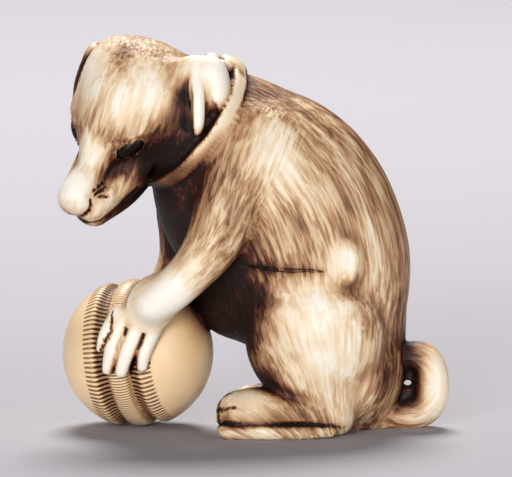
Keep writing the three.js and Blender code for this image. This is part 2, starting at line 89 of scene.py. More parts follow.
class FinishColours(bpy.types.PropertyGroup):
    """Colours of the finishes, as sRGB hex values; the cream also serves for painted highlight on the rubbed highs,
    and the dark and black stains for painted shade in the hollows.
    """
    cream: StringProperty(name="Worn ivory", description="Where the stain is rubbed away", default="FFF7E7")
    honey: StringProperty(name="Aged ivory", description="The open surface", default="EBD2AC")
    tan: StringProperty(name="Stained ivory", description="Light stain between hairs", default="BC9068")
    umber: StringProperty(name="Deep stain", description="Stain in creases", default="734B30")
    # the dark and black stains also colour the painted shade on the cheeks, the chest and the belly
    dark_stain_and_shade: StringProperty(name="Dark stain", description="Stain on the cheeks", default="451C10")
    black_stain_and_shade: StringProperty(name="Black stain", description="Stain in the deepest hollows", default="1A0803")
    pale_peach: StringProperty(name="Pale ball ivory", description="The ball where it is rubbed", default="FFDDB0")
    peach: StringProperty(name="Ball ivory", description="The ball's smooth skin", default="F4CB94")
    horn: StringProperty(name="Dark horn", description="The inlaid eyes", default="120A08")


class StageSettings(bpy.types.PropertyGroup):
    """The studio: a pale sweep, soft lights and the camera."""
    paper: StringProperty(name="Paper", description="Colour of the sweep", default="AFADB3")
    lens: FloatProperty(name="Lens", description="Focal length, mm", default=800.0)
    elevation: FloatProperty(name="Elevation", description="How far the camera looks down, degrees", default=7.0)
    view_width: FloatProperty(name="View width", description="Width of the view at the carving, mm", default=54.2)


# ---- vectors and forms --------------------------------------------------------------------------------
# Everything here is in the carver's own frame, in mm: the dog faces -X, its left side is toward -Y.

def unit(v):
    """The direction of v."""
    v = np.asarray(v, float)
    return v / np.linalg.norm(v)


def across(v, axis):
    """The part of v that is square to axis, as a direction."""
    return unit(np.asarray(v, float) - np.dot(v, axis) * np.asarray(axis))


def smoothstep(low, high, x):
    """0 below low, 1 above high, and an S-shaped rise between."""
    t = np.clip((x - low) / (high - low), 0, 1)
    return t * t * (3 - 2 * t)


HEAD_AT = np.array([-12.9, -2.0, 35.5])
HEAD_LEFT = unit([0.82, -0.53, -0.23])
HEAD_SNOUT = across([-0.52, -0.49, -0.70], HEAD_LEFT)
HEAD = np.array([HEAD_LEFT, HEAD_SNOUT, np.cross(HEAD_SNOUT, HEAD_LEFT)])
NECK_AT = np.array([-6.6, -0.4, 32.5])
NECK_AXIS = unit([0.75, 0.3, -0.58])
BALL_AT = np.array([-12.4, 0.6, 7.9])
BALL_YAW, BALL_TILT = np.radians([18, 6])
SEAM = unit([np.cos(BALL_YAW) * np.cos(BALL_TILT), -np.sin(BALL_YAW), np.sin(BALL_TILT)])
EYE_AT = (3.3, 5.8, -0.05)
EYE_HALF = np.array([1.8, 1.05, 0.95])
EYE_SINK = 0.25
FLANK_TURN = np.array([-16.4, 13.6])          # x, z of the middle of the arcs that the coat follows
THIGH_ROOT = np.array([9.5, -4.5])            # x, z where the thigh's hairs would meet
TAIL_TURN = np.array([16.2, 4.9])             # x, z of the middle of the tail's curl
FAR = 50.0


def head_way(v):
    """A direction given as left, snout, crown."""
    return np.asarray(v, float) @ HEAD


def on_head(place):
    """A place given as left, snout, crown in mm from the middle of the skull."""
    return HEAD_AT + head_way(place)


class Egg:
    """An ellipsoid; its distance is |q/h| (|q/h| - 1) / |q/h^2|, with q the place along its three axes."""

    def __init__(self, at, half, along=(1, 0, 0), side=(0, 1, 0)):
        a = unit(along)
        b = across(side, a)
        self.axes = np.array([a, b, np.cross(a, b)])
        self.at = np.asarray(at, float)
        self.half = np.asarray(half, float)
        reach = np.sqrt(((self.axes * self.half[:, None]) ** 2).sum(0))
        self.low, self.high = self.at - reach, self.at + reach

    def distance(self, p):
        q = (p - self.at) @ self.axes.T
        near = np.sqrt(((q / self.half) ** 2).sum(1))
        steep = np.sqrt(((q / self.half ** 2) ** 2).sum(1)) + 1e-9
        return near * (near - 1) / steep


def smooth_rows(rows, steps):
    """Catmull-Rom rows through the given ones, `steps` for each stretch."""
    rows = np.asarray(rows, float)
    rows = np.vstack([2 * rows[0] - rows[1], rows, 2 * rows[-1] - rows[-2]])
    t = np.linspace(0, 1, steps, endpoint=False)[:, None]
    out = []
    for i in range(1, len(rows) - 2):
        a, b, c, d = rows[i - 1], rows[i], rows[i + 1], rows[i + 2]
        out.append(0.5 * (2 * b + (c - a) * t + (2 * a - 5 * b + 4 * c - d) * t ** 2
                          + (3 * b - a - 3 * c + d) * t ** 3))
    return np.vstack(out + [rows[-2][None]])


class Roll:
    """A tapering roll along a curve through rows x, y, z, radius, squashed by `flat` along `way`."""

    def __init__(self, rows, flat=1.0, way=(0, 1, 0), steps=5):
        path = smooth_rows(rows, steps)
        self.path, self.radius = path[:, :3], path[:, 3]
        self.flat, self.way, self.middle = flat, unit(way), path[:, :3].mean(0)
        reach = (self.radius * max(1.0, flat))[:, None]
        self.low, self.high = (self.path - reach).min(0), (self.path + reach).max(0)

    def distance(self, p):
        p = p + ((p - self.middle) @ self.way * (1 / self.flat - 1))[:, None] * self.way
        best = np.full(len(p), FAR)
        for k in range(len(self.path) - 1):
            run = self.path[k + 1] - self.path[k]
            grow = self.radius[k + 1] - self.radius[k]
            length = np.sqrt(run @ run)
            slope = np.clip(grow / length, -0.9, 0.9)
            v = p - self.path[k]
            t = v @ run / length ** 2
            out = np.sqrt(((v - t[:, None] * run) ** 2).sum(1))
            foot = np.clip(t + out * slope / np.sqrt(1 - slope ** 2) / length, 0, 1)
            best = np.minimum(best, np.hypot(out, (t - foot) * length) - self.radius[k] - foot * grow)
        return best * min(1.0, np.sqrt(self.flat))

    def follow(self, p):
        """How far along the roll each place is, in mm, and its offset from the nearest place of the path."""
        best = np.full(len(p), FAR)
        along, offset = np.zeros(len(p)), np.zeros((len(p), 3))
        done = 0.0
        for k in range(len(self.path) - 1):
            run = self.path[k + 1] - self.path[k]
            length = np.sqrt(run @ run)
            t = np.clip((p - self.path[k]) @ run / length ** 2, 0, 1)
            v = p - self.path[k] - t[:, None] * run
            far = np.sqrt((v ** 2).sum(1))
            nearer = far < best
            best[nearer] = far[nearer]
            along[nearer] = (done + t * length)[nearer]
            offset[nearer] = v[nearer]
            done += length
        return along, offset


class BoundBall:
    """A sphere whose waist rolls in to a groove, with a strap standing in the groove."""
    waist, rim, groove, strap, rise = 2.75, 1.5, 0.95, 1.15, 0.75

    def __init__(self, radius):
        self.radius = radius
        self.low, self.high = BALL_AT - radius, BALL_AT + radius

    def distance(self, p):
        q = p - BALL_AT
        off = np.abs(q @ SEAM)
        inward = np.clip((self.waist - off) / self.rim, 0, 1)
        dip = self.groove * inward ** 2 * (3 - 2 * inward)
        rise = self.rise * np.clip((self.strap - off) / 0.3, 0, 1) * (1 - 0.25 * np.clip(off / 0.9, 0, 1) ** 2)
        return np.sqrt((q ** 2).sum(1)) - (self.radius - dip + rise)


class Band:
    """The collar: a ring of rounded-square section."""
    edge = 0.25

    def __init__(self, shift=0.0, radius=7.4, half_width=0.85, half_depth=0.55):
        self.at = NECK_AT + NECK_AXIS * shift
        self.radius, self.half_width, self.half_depth = radius, half_width, half_depth
        reach = radius + half_depth + 0.6
        self.low, self.high = self.at - reach, self.at + reach

    def distance(self, p):
        q = p - self.at
        s = q @ NECK_AXIS
        v = q - s[:, None] * NECK_AXIS
        out = np.abs(np.sqrt((v ** 2).sum(1)) - self.radius) - (self.half_depth - self.edge)
        off = np.abs(s) - (self.half_width - self.edge)
        return np.hypot(np.maximum(out, 0), np.maximum(off, 0)) + np.minimum(np.maximum(out, off), 0) - self.edge


def head_roll(rows, **shape):
    """A roll whose rows are given in the head's frame."""
    return Roll([[*on_head(row[:3]), row[3]] for row in rows], **shape)


def head_egg(place, half, along=(1, 0, 0), side=(0, 1, 0)):
    """An egg in the head's frame."""
    return Egg(on_head(place), half, head_way(along), head_way(side))


def eye_ways(side):
    """The long way of an eye and the way it looks, in the head's frame."""
    return np.array([-0.62 * side, 0.74, -0.24]), np.array([0.75 * side, 0.6, 0.2])


def eye_egg(side, grow, sink=EYE_SINK):
    """The egg of an eye, or of its socket when grown."""
    along, look = eye_ways(side)
    place = np.array([side * EYE_AT[0], *EYE_AT[1:]]) - unit(look) * sink
    return head_egg(place, EYE_HALF + grow, along, look)


class Clay:
    """The field at some places: add() presses a form on, cut() takes one away, each with a soft edge."""

    def __init__(self, places):
        self.places = places
        self.field = np.full(len(places), FAR)

    def near(self, form, margin):
        inside = (self.places > form.low - margin) & (self.places < form.high + margin)
        return np.flatnonzero(inside.all(1))

    def add(self, form, fillet):
        at = self.near(form, fillet + 2.5)
        a, b = self.field[at], form.distance(self.places[at])
        h = np.clip(0.5 + 0.5 * (a - b) / fillet, 0, 1)
        self.field[at] = a + (b - a) * h - fillet * h * (1 - h)

    def cut(self, form, ease):
        at = self.near(form, ease + 1)
        a, b = self.field[at], -form.distance(self.places[at])
        h = np.clip(0.5 - 0.5 * (a - b) / ease, 0, 1)
        self.field[at] = a + (b - a) * h + ease * h * (1 - h)


# ---- the dog, form by form --------------------------------------------------------------------------

def body_forms():
    """Torso, neck, chest, belly and rump, each with the width of its fillet."""
    return [
        (Roll([[-5.8, 0, 31.7, 5.4], [-2.7, 0, 28.5, 8.4], [1.8, 0, 24, 11.5], [5.1, 0, 18.5, 11.2],
               [7.7, 0, 13, 8.4], [9.3, 0, 7.4, 6.5], [10, 0, 3.5, 5]], flat=0.78, steps=9), 0.5),
        (Roll([[-11.1, -1.8, 34.7, 5.6], [-6.9, -0.9, 33.1, 6.3], [-3.2, 0, 30.7, 7]]), 2),
        (Egg([-5.2, -0.6, 34.4], [4.2, 5, 4.6]), 1.2),
        (Egg(NECK_AT, [2.6, 6.8, 6.8], NECK_AXIS), 1.2),
        (Egg([-6, 1, 23.6], [3.9, 6, 6], [1, 0, 0.35]), 1.5),
        (Egg([-2.6, 0, 13.4], [4, 4.2, 3.6], [0.8, 0, -0.6]), 1.5),
        (Egg([9.7, 0, 5.9], [5.9, 8, 5.8]), 1.5),
    ]


NEAR_ARM = [[-1.2, -5.2, 28.3, 4.4], [-2.9, -6.9, 24, 3.6], [-4.3, -8.1, 20.8, 3], [-6.5, -8.9, 17.9, 2.4],
            [-9, -9, 15.5, 2.2], [-10.6, -8.8, 14.3, 1.9]]
FAR_ARM = [[-4.2, 4.6, 27.4, 4.2], [-7.1, 6.2, 23.5, 3.3], [-7.5, 7.2, 19.7, 2.7], [-7.9, 7.8, 16.7, 2.4],
           [-9.5, 8, 13.7, 2.1], [-11.3, 8.2, 12.3, 2.1]]


def arm_forms():
    """Shoulders, forelegs and the backs of the paws."""
    return [
        (Egg([0.3, -4.4, 28.2], [6, 4.2, 6.6], [0.9, 0, -0.35]), 1.5),
        (Roll(NEAR_ARM), 1),
        (Egg([-10.8, -8, 14.2], [3.3, 2.6, 1.3], [-0.45, 0.14, -0.9], [0.9, 0, -0.45]), 1),
        (Egg([-2, 4, 27.5], [5.4, 3.8, 6], [0.9, 0, -0.35]), 1.5),
        (Roll(FAR_ARM), 1),
        (Egg([-12.4, 8.4, 11.1], [3.7, 3.2, 1.7], [-0.4, 0.1, -0.9], [0.9, 0, -0.4]), 0.8),
    ]


def finger_forms():
    """The toes of the near forepaw, spread over the ball."""
    rows = [
        [[-14.3, -6.7, 13, 0.9], [-15.7, -6.9, 10.8, 0.72], [-16.2, -6.7, 9.3, 0.52]],
        [[-13.4, -6.9, 12.9, 1.15], [-14.7, -7.1, 10.2, 0.9], [-15.1, -7.2, 8.9, 0.82], [-15.5, -7, 7.1, 0.62]],
        [[-11.8, -7.2, 12.8, 1.2], [-12.9, -7.5, 10.3, 0.95], [-13.5, -7.7, 8.9, 0.85], [-14.1, -7.6, 6.9, 0.66]],
        [[-10.4, -7.1, 12.7, 1.3], [-11.2, -7.4, 10.3, 0.9], [-11.7, -7.7, 8.8, 0.75], [-11.9, -7.6, 7.5, 0.6]],
    ]
    return [(Roll(finger), 0.35) for finger in rows]


def thigh_forms():
    """Thighs, shins and hip bones."""
    forms = []
    for side, high, low, hip in ((-1, 10.2, 5.9, 18.6), (1, 9.1, 4.3, 16.7)):
        forward = 6.4 if side < 0 else 6.8
        forms += [
            (Egg([forward, 4.8 * side, high], [7.4, 5.2, 7.6]), 0.5),
            (Egg([forward - 3, 4.9 * side, high + 3], [4.2, 4.4, 4.3]), 1),
            (Roll([[4.8, 6.6 * side, low, 3], [7.9, 6.4 * side, low - 2.7, 2.6]]), 1.5),
            (Egg([9.4, 7.6 * side, hip], [1.6, 0.8, 2.2]), 1.2),
        ]
    return forms


def foot_forms():
    """Hind feet with four toes each, and the outer edge of each sole."""
    forms = []
    toes = [[-3.3, 9.2, 0.95, 0.8], [-3.4, 8.6, 2.1, 0.82], [-3.2, 7.3, 3, 0.9], [-3.1, 5.8, 2.9, 0.85]]
    for side, back, low in ((-1, 0, 1), (1, 1.2, 0.72)):
        top = [[-1.7, 7.2, 2.5, 2.35], [0.7, 7.2, 2.7, 2.5], [4.8, 7.2, 2.4, 2.3], [8.5, 6.8, 2, 2]]
        forms.append((Roll([[x + back, y * side, z * low, r * low] for x, y, z, r in top], flat=1.25), 0.6))
        for x, y, z, r in toes:
            z, r = z * low, r * (1 + low) / 2
            rows = [[x + 1.7 + back, (y - 0.4) * side, z + 0.3, r], [x + back, y * side, z, 0.9 * r]]
            forms.append((Roll(rows), 0.25))
        sole = [[-2.9, 9.5, 0.75, 0.8], [0.7, 9.9, 0.75, 0.85], [4.8, 9.7, 0.75, 0.8], [7.9, 8.9, 0.8, 0.7]]
        forms.append((Roll([[x + back, y * side, z, r] for x, y, z, r in sole]), 0.2))
    return forms


def tail_forms():
    """The tail curls up and over; a thinner leaf fills the curl."""
    return [
        (Roll([[12.7, 0, 1.4, 2.2], [15.6, 0, 1.3, 1.9], [18.1, -0.3, 2.4, 1.95], [18.7, -0.5, 5.1, 1.9],
               [18, -0.5, 7.2, 1.75], [16.3, -0.4, 7.6, 1.5], [15.5, -0.2, 6.6, 1]]), 0.4),
        (Egg([16.5, 0.2, 4.4], [2.2, 1.2, 3.2]), 0.4),
    ]


def head_forms():
    """Skull, cheeks, bridge, lips, nose, lower jaw and brows."""
    forms = [
        (head_egg([0.15, -0.1, 0], [6.1, 6.5, 5.75]), 1.5),
        (head_egg([0, 2.6, -3.8], [4.7, 4.8, 4.5]), 1.5),
        (head_roll([[0, 4.6, 0.3, 3.1], [0, 8.6, -1.3, 1.75], [0, 12.2, -1.7, 1.75]], steps=8), 1.2),
    ]
    for s in (1, -1):
        lip = [[2.1 * s, 4.6, -4.6, 2.5], [1.75 * s, 8.6, -4.2, 1.95], [1.15 * s, 11.9, -3.7, 1.75]]
        forms.append((head_roll(lip, steps=8), 0.9))
    forms.append((head_egg([0, 12.9, -2.1], [1.9, 1.3, 1.9]), 0.25))
    forms.append((head_roll([[0, 2.6, -7, 2.3], [0, 7.2, -7.1, 2], [0, 11.5, -6.2, 1.35]],
                            flat=1.45, way=HEAD_LEFT), 0.12))
    for s in (1, -1):
        forms.append((head_egg([2.6 * s, 4.2, 1.5], [2.1, 1.8, 1], [0.8 * s, -0.55, 0.1], [0.55 * s, 0.8, 0]), 1.2))
    return forms


def near_ear_forms():
    """The near ear: its root, its hanging lobe and the rolled front edge."""
    return [
        (head_roll([[4.6, -2.8, 2.8, 1.2], [6.4, -3.9, 2.9, 1.5], [7.8, -4.2, 2.2, 1.8]]), 1.6),
        (head_egg([8.5, -3.3, 0.9], [3.6, 1.85, 2], [0.2, 0.66, -0.73], [0.7, -0.6, -0.4]), 0.8),
        (head_roll([[7.3, -3.4, 3.1, 1], [8.4, -1, 2.3, 0.9], [9.1, 0.8, 0.9, 0.85], [9.3, 1.4, 0.2, 0.6]]), 0.35),
    ]


def near_ear_hollows():
    """The fold behind the rolled edge, and the deep opening in front of it."""
    return [
        (head_roll([[9.6, -1.9, 2.6, 0.2], [9.9, -1.4, 1.5, 0.45], [10.1, -0.9, 0.3, 0.7]]), 0.15),
        (head_roll([[7.3, -1.6, 3.8, 0.4], [7.9, 0.1, 2.5, 0.7], [8.4, 1.7, 0.7, 0.9]]), 0.2),
    ]


def far_ear_forms():
    """The far ear, which lies closer to the skull."""
    return [
        (head_egg([-2, -1.6, 1.9], [3.3, 3.3, 3.3]), 1.5),
        (head_roll([[-5.6, -2.4, 2, 0.8], [-6.1, -1.4, 1.5, 0.75], [-5.8, 1, 1, 0.65], [-5.1, 2.9, 0.8, 0.5]]), 0.25),
        (head_egg([-6.3, -2.6, -0.6], [1, 1.9, 3.2]), 0.4),
    ]


def far_ear_hollows():
    """The slit in front of the far ear."""
    return [(head_roll([[-5.2, -1.5, 3.9, 0.3], [-5.2, -0.1, 3.2, 0.45], [-4.6, 1.9, 2.5, 0.3]]), 0.15)]


def bow_forms():
    """The bow's loops at the nape."""
    return [
        (Egg([-4.5, -1, 39.3], [0.9, 1.1, 0.7], [0.8, 0, -0.3]), 0.2),
        (Egg([-2.3, 0.2, 38.6], [1.7, 2.2, 0.8], [0.8, 0, -0.5]), 0.2),
        (Egg([-3.4, -2.2, 38.6], [1.2, 1, 0.8], [0.8, 0, -0.3]), 0.2),
    ]


# Engraved strokes: rows x, y, z near the skin, then the tool's half-width and the strength of the stain.
HEAD_STROKES = [
    ([[0, 12.9, -5.9], [0.7, 13.0, -5.3], [1.3, 13.0, -4.9], [2.0, 12.6, -4.8], [2.5, 11.6, -5.0],
      [2.9, 10.3, -4.8], [3.2, 9.2, -4.7], [3.5, 7.8, -4.8]], 0.16, 1.0),                       # mouth
    ([[1.2, 12.7, -1.9], [1.5, 12.8, -2.4], [1.4, 13.1, -3.1], [0.6, 13.6, -3.8]], 0.09, 0.7),  # nostril
    ([[1.2, 11.5, -1.5], [1.5, 9.8, -2.4]], 0.07, 0.6),                                         # whiskers
    ([[1.4, 11.8, -2.0], [1.9, 10.2, -2.9]], 0.07, 0.6),
    ([[1.6, 11.9, -2.6], [2.2, 10.6, -3.4]], 0.07, 0.6),
]
FOOT_STROKES = [
    ([[-2.6, -6.0, 4.7], [-3.2, -7.0, 4.0], [-3.5, -7.9, 3.2], [-3.5, -8.7, 2.3], [-3.6, -9.2, 1.2]], 0.07, 0.5),
    ([[-4.0, -7.4, 2.7], [-2.9, -9.0, 3.0], [-1.9, -9.3, 3.1]], 0.09, 0.6),
    ([[-4.0, -8.2, 1.6], [-2.6, -9.1, 1.7], [-1.4, -9.5, 1.9]], 0.09, 0.6),
    ([[-4.0, -6.2, 3.5], [-3.0, -7.4, 4.0], [-2.2, -7.9, 4.4]], 0.08, 0.5),
]
HAND_STROKES = [
    ([[-14.6, -6.9, 13.0], [-15.0, -7.0, 11.9], [-15.3, -7.0, 10.5],
      [-15.7, -7.0, 9.1], [-16.0, -6.7, 7.8]], 0.1, 0.7),
    ([[-13.6, -7.3, 11.9], [-13.9, -7.2, 10.8], [-14.3, -7.2, 9.7],
      [-14.6, -7.1, 8.3], [-14.6, -7.3, 7.0]], 0.1, 0.7),
    ([[-11.6, -7.7, 11.6], [-11.9, -7.5, 10.6], [-12.4, -7.4, 9.2],
      [-12.7, -6.7, 7.8], [-12.9, -5.9, 6.6]], 0.11, 0.7),
    ([[-15.9, -6.9, 7.2], [-15.5, -6.8, 6.9], [-15.1, -6.1, 7.0]], 0.06, 0.4),
    ([[-14.5, -7.4, 6.9], [-14.1, -6.5, 6.6], [-13.7, -6.4, 6.8]], 0.06, 0.4),
    ([[-12.1, -7.5, 7.9], [-11.6, -7.4, 7.6], [-11.1, -6.8, 7.9]], 0.06, 0.4),
]
BODY_STROKES = [
    ([[-1.0, -7.2, 18.5], [0.6, -7.8, 18.2], [2.2, -8.0, 18.0], [4.0, -8.1, 17.9], [5.8, -8.1, 17.9],
      [7.0, -8.0, 17.7]], 0.2, 0.2),                                                            # flank fold
    ([[1.0, -9.4, 1.6], [3.4, -9.5, 1.8], [5.6, -9.3, 1.8], [7.4, -8.9, 1.6], [9.2, -8.4, 1.3]], 0.12, 0.15),
]
FAR_HAND_STROKES = [
    ([[-12.7, 10.1, 10.5], [-13.2, 10.0, 9.3], [-13.8, 9.4, 8.1]], 0.18, 0.7),
    ([[-14.1, 10.0, 11.0], [-14.5, 9.9, 10.1], [-15.0, 9.2, 9.0]], 0.18, 0.7),
    ([[-11.3, 10.0, 9.8], [-11.8, 9.9, 8.8], [-12.2, 9.2, 7.8]], 0.18, 0.7),
]
EAR_STROKES = [
    ([[9.4, -1.0, 1.5], [9.3, -0.3, 1.2], [9.2, 0.2, 0.3]], 0.12, 0.7),
]
WIDE_TOOL = 0.115                        # half-width in mm from which a stroke is cut shallow
THIN_CUT, WIDE_CUT = 3.0, 1.2            # depth over half-width of thin and of wide strokes


class Stroke(Roll):
    """A cut as wide as a thin roll, and deeper than that by `deep` along the skin's normal."""

    def __init__(self, rows, normal, deep):
        super().__init__(rows, steps=1)
        reach = self.radius.max() * deep
        self.low, self.high = self.low - reach, self.high + reach
        self.squash = np.eye(3) - (1 - 1 / deep) * np.outer(unit(normal), unit(normal))
        self.path = self.path @ self.squash

    def distance(self, p):
        return super().distance(p @ self.squash)


def strokes_on_skin(ball_radius):
    """Every stroke as (cut, stain): its path drawn onto the plain skin and relaxed, and both its ends tapered."""
    rows = [(on_head(path), wide, ink) for path, wide, ink in EAR_STROKES]
    for stroke, wide, ink in HEAD_STROKES:
        rows += [(on_head(np.array(stroke) * [side, 1, 1]), wide, ink) for side in (1, -1)]
    rows += [(np.array(path), wide, ink) for path, wide, ink in HAND_STROKES + FAR_HAND_STROKES]
    for stroke, wide, ink in FOOT_STROKES + BODY_STROKES:
        rows += [(np.array(stroke) * [1, side, 1], wide, ink) for side in (1, -1)]
    paths = [smooth_rows(places, 4) for places, _, _ in rows]
    ends = np.cumsum([len(path) for path in paths])[:-1]
    for _ in range(3):
        skin, normals = settle(np.vstack(paths), lambda places: carving_field(places, ball_radius), 1, 0.5)
        paths = np.split(skin, ends)
        for path in paths:
            path[1:-1] = (path[:-2] + 2 * path[1:-1] + path[2:]) / 4
    strokes = []
    for path, normal, (_, wide, ink) in zip(paths, np.split(normals, ends), rows):
        taper = np.sin(np.linspace(0.12, 0.88, len(path)) * np.pi)
        deep = THIN_CUT if wide < WIDE_TOOL else WIDE_CUT
        strokes.append((Stroke(np.c_[path, wide * taper], normal.mean(0), deep), ink))
    return strokes


def group_field(places, forms):
    """The field of a few forms alone."""
    clay = Clay(places)
    for form, fillet in forms:
        clay.add(form, fillet)
    return clay.field


def carving_field(places, ball_radius, strokes=()):
    """The whole carving's field, in the order in which the forms are laid on."""
    clay = Clay(places)
    for form, fillet in body_forms() + arm_forms():
        clay.add(form, fillet)
    clay.add(BoundBall(ball_radius), 0.15)
    for form, fillet in finger_forms() + thigh_forms() + foot_forms() + tail_forms() + head_forms():
        clay.add(form, fillet)
    clay.cut(Band(shift=-1.3, radius=7.1, half_width=0.4), 0.3)
    for forms, hollows in ((near_ear_forms(), near_ear_hollows()), (far_ear_forms(), far_ear_hollows())):
        for form, fillet in forms:
            clay.add(form, fillet)
        for form, ease in hollows:
            clay.cut(form, ease)
    for side in (1, -1):                                                   # lids
        clay.add(eye_egg(side, 0.5, sink=0.6), 0.35)
    for side in (1, -1):                                                   # sockets
        clay.cut(eye_egg(side, 0.16), 0.08)
    clay.cut(Roll([[16.2, -5, 4.7, 0.42], [16.2, 5, 4.7, 0.42]]), 0.15)    # cord hole
    for stroke, _ in strokes:
        clay.cut(stroke, 0.1)
    clay.add(Band(), 0.15)
    for form, fillet in bow_forms():
        clay.add(form, fillet)
    return np.maximum(clay.field, -places[:, 2])


# ---- from a field to a mesh -----------------------------------------------------------------------------

def sample_field(low, counts, step, field):
    """The field on a grid: a coarse pass everywhere, then every grid place within reach of the surface."""
    def places(size, numbers):
        axes = [low[k] + size * np.arange(numbers[k]) for k in range(3)]
        return np.stack(np.meshgrid(*axes, indexing="ij"), -1).reshape(-1, 3)

    ratio = 4
    coarse_counts = [n // ratio + 2 for n in counts]
    coarse = field(places(step * ratio, coarse_counts)).reshape(coarse_counts)
    index = [np.rint(np.arange(n) / ratio).astype(int) for n in counts]
    values = coarse[np.ix_(*index)]
    close = np.flatnonzero(np.abs(values.ravel()) < step * ratio * 1.3)
    at = np.stack(np.unravel_index(close, counts), 1) * step + low
    flat = values.ravel()
    flat[close] = field(at)
    return flat.reshape(counts)


def surface_net(values, low, step):
    """Surface nets: one vertex in each cell that the surface crosses, at the mean of its edge crossings."""
    corner = [(i, j, k) for i in (0, 1) for j in (0, 1) for k in (0, 1)]
    n = np.array(values.shape) - 1
    at = {c: values[c[0]:c[0] + n[0], c[1]:c[1] + n[1], c[2]:c[2] + n[2]] for c in corner}
    inside = sum((v < 0).astype(np.int8) for v in at.values())
    cells = np.argwhere((inside > 0) & (inside < 8))
    key = tuple(cells.T)
    total, count = np.zeros((len(cells), 3)), np.zeros(len(cells))
    for a in corner:
        for axis in range(3):
            if a[axis]:
                continue
            b = tuple(c + (k == axis) for k, c in enumerate(a))
            u, v = at[a][key], at[b][key]
            crossed = (u < 0) != (v < 0)
            t = np.where(crossed, u / np.where(crossed, u - v, 1), 0)
            place = np.array(a, float) + t[:, None] * (np.arange(3) == axis)
            total += np.where(crossed[:, None], place, 0)
            count += crossed
    points = low + step * (cells + total / count[:, None])
    number = np.full(n, -1, np.int64)
    number[key] = np.arange(len(cells))
    quads = []
    for axis in range(3):
        b, c = (axis + 1) % 3, (axis + 2) % 3
        near, far = [slice(None)] * 3, [slice(None)] * 3
        near[axis], far[axis] = slice(0, -1), slice(1, None)
        start, end = values[tuple(near)] < 0, values[tuple(far)] < 0
        edges = np.argwhere(start != end)
        leaving = start[tuple(edges.T)]
        ring = []
        for back_b, back_c in ((1, 1), (0, 1), (0, 0), (1, 0)):
            cell = edges.copy()
            cell[:, b] -= back_b
            cell[:, c] -= back_c
            ring.append(number[tuple(cell.T)])
        ring = np.stack(ring, 1)
        ring[~leaving] = ring[~leaving][:, ::-1]
        quads.append(ring)
    return points, np.vstack(quads)


def slope_of(places, field, reach=0.04):
    """The field's gradient by central differences."""
    out = np.empty_like(places)
    for k in range(3):
        step = np.eye(3)[k] * reach
        out[:, k] = (field(places + step) - field(places - step)) / (2 * reach)
    return out


def settle(points, field, rounds=2, stride=0.25):
    """Newton steps put each vertex on the surface; returns the places and the unit normals."""
    for _ in range(rounds):
        grad = slope_of(points, field)
        size = np.maximum((grad ** 2).sum(1), 0.04)
        move = -(field(points) / size)[:, None] * grad
        far = np.sqrt((move ** 2).sum(1))[:, None]
        points = points + move * np.minimum(1, stride / np.maximum(far, 1e-9))
    grad = slope_of(points, field)
    return points, grad / np.maximum(np.linalg.norm(grad, axis=1)[:, None], 1e-9)


# ---- what each place of the surface carries ----------------------------------------------------------------

def hollowness(points, normals, field, reaches):
    """How much of the way out along the normal is filled, averaged over a few reaches: 0 open, 1 deep."""
    filled = [np.clip(1 - field(points + normals * reach) / reach, 0, 1) for reach in reaches]
    return np.mean(filled, 0)


def bend_of(points, normals, field, reach):
    """Mean curvature in 1/mm: the field a little way off along the surface, over half the way squared."""
    side = np.cross(normals, [0.3, 0.5, 0.81])
    side /= np.linalg.norm(side, axis=1)[:, None]
    other = np.cross(normals, side)
    around = [field(points + reach * way) for way in (side, -side, other, -other)]
    return np.mean(around, 0) / (0.5 * reach ** 2)


def stroke_stain(points, strokes):
    """The stain the engraved strokes hold: full in the cut, fading over about three of the tool's half-widths."""
    out = np.zeros(len(points))
    for stroke, ink in strokes:
        fade = np.clip(8 * stroke.radius.max() - 0.7, 0.14, 0.8)
        at = Clay(points).near(stroke, 1.0)
        out[at] = np.maximum(out[at], ink * smoothstep(fade, -0.03, stroke.distance(points[at])))
    return out


def finer(points, faces, wanted):
    """Splits the edges whose ends are both wanted, and their faces with them, so the mesh stays closed."""
    mesh = bpy.data.meshes.new("draft")
    mesh.from_pydata(points.tolist(), [], faces)
    form = bmesh.new()
    form.from_mesh(mesh)
    form.edges.ensure_lookup_table()
    ends = np.array([[corner.index for corner in edge.verts] for edge in form.edges])
    edges = [form.edges[i] for i in np.flatnonzero(wanted[ends].all(1))]
    bmesh.ops.subdivide_edges(form, edges=edges, cuts=1, use_grid_fill=True)
    form.verts.index_update()
    places = np.array([corner.co for corner in form.verts])
    lists = [[corner.index for corner in face.verts] for face in form.faces]
    form.free()
    bpy.data.meshes.remove(mesh)
    return places, lists


def spots(points, rows):
    """A sum of soft round patches; rows x, y, z, radius, strength."""
    total = np.zeros(len(points))
    for x, y, z, radius, strength in rows:
        far = ((points - [x, y, z]) ** 2).sum(1)
        total += strength * np.exp(-far / radius ** 2)
    return total


def nearest_group(points, groups):
    """The field of each named group of forms at each place, one row for each group."""
    return {name: group_field(points, forms) for name, forms in groups.items()}


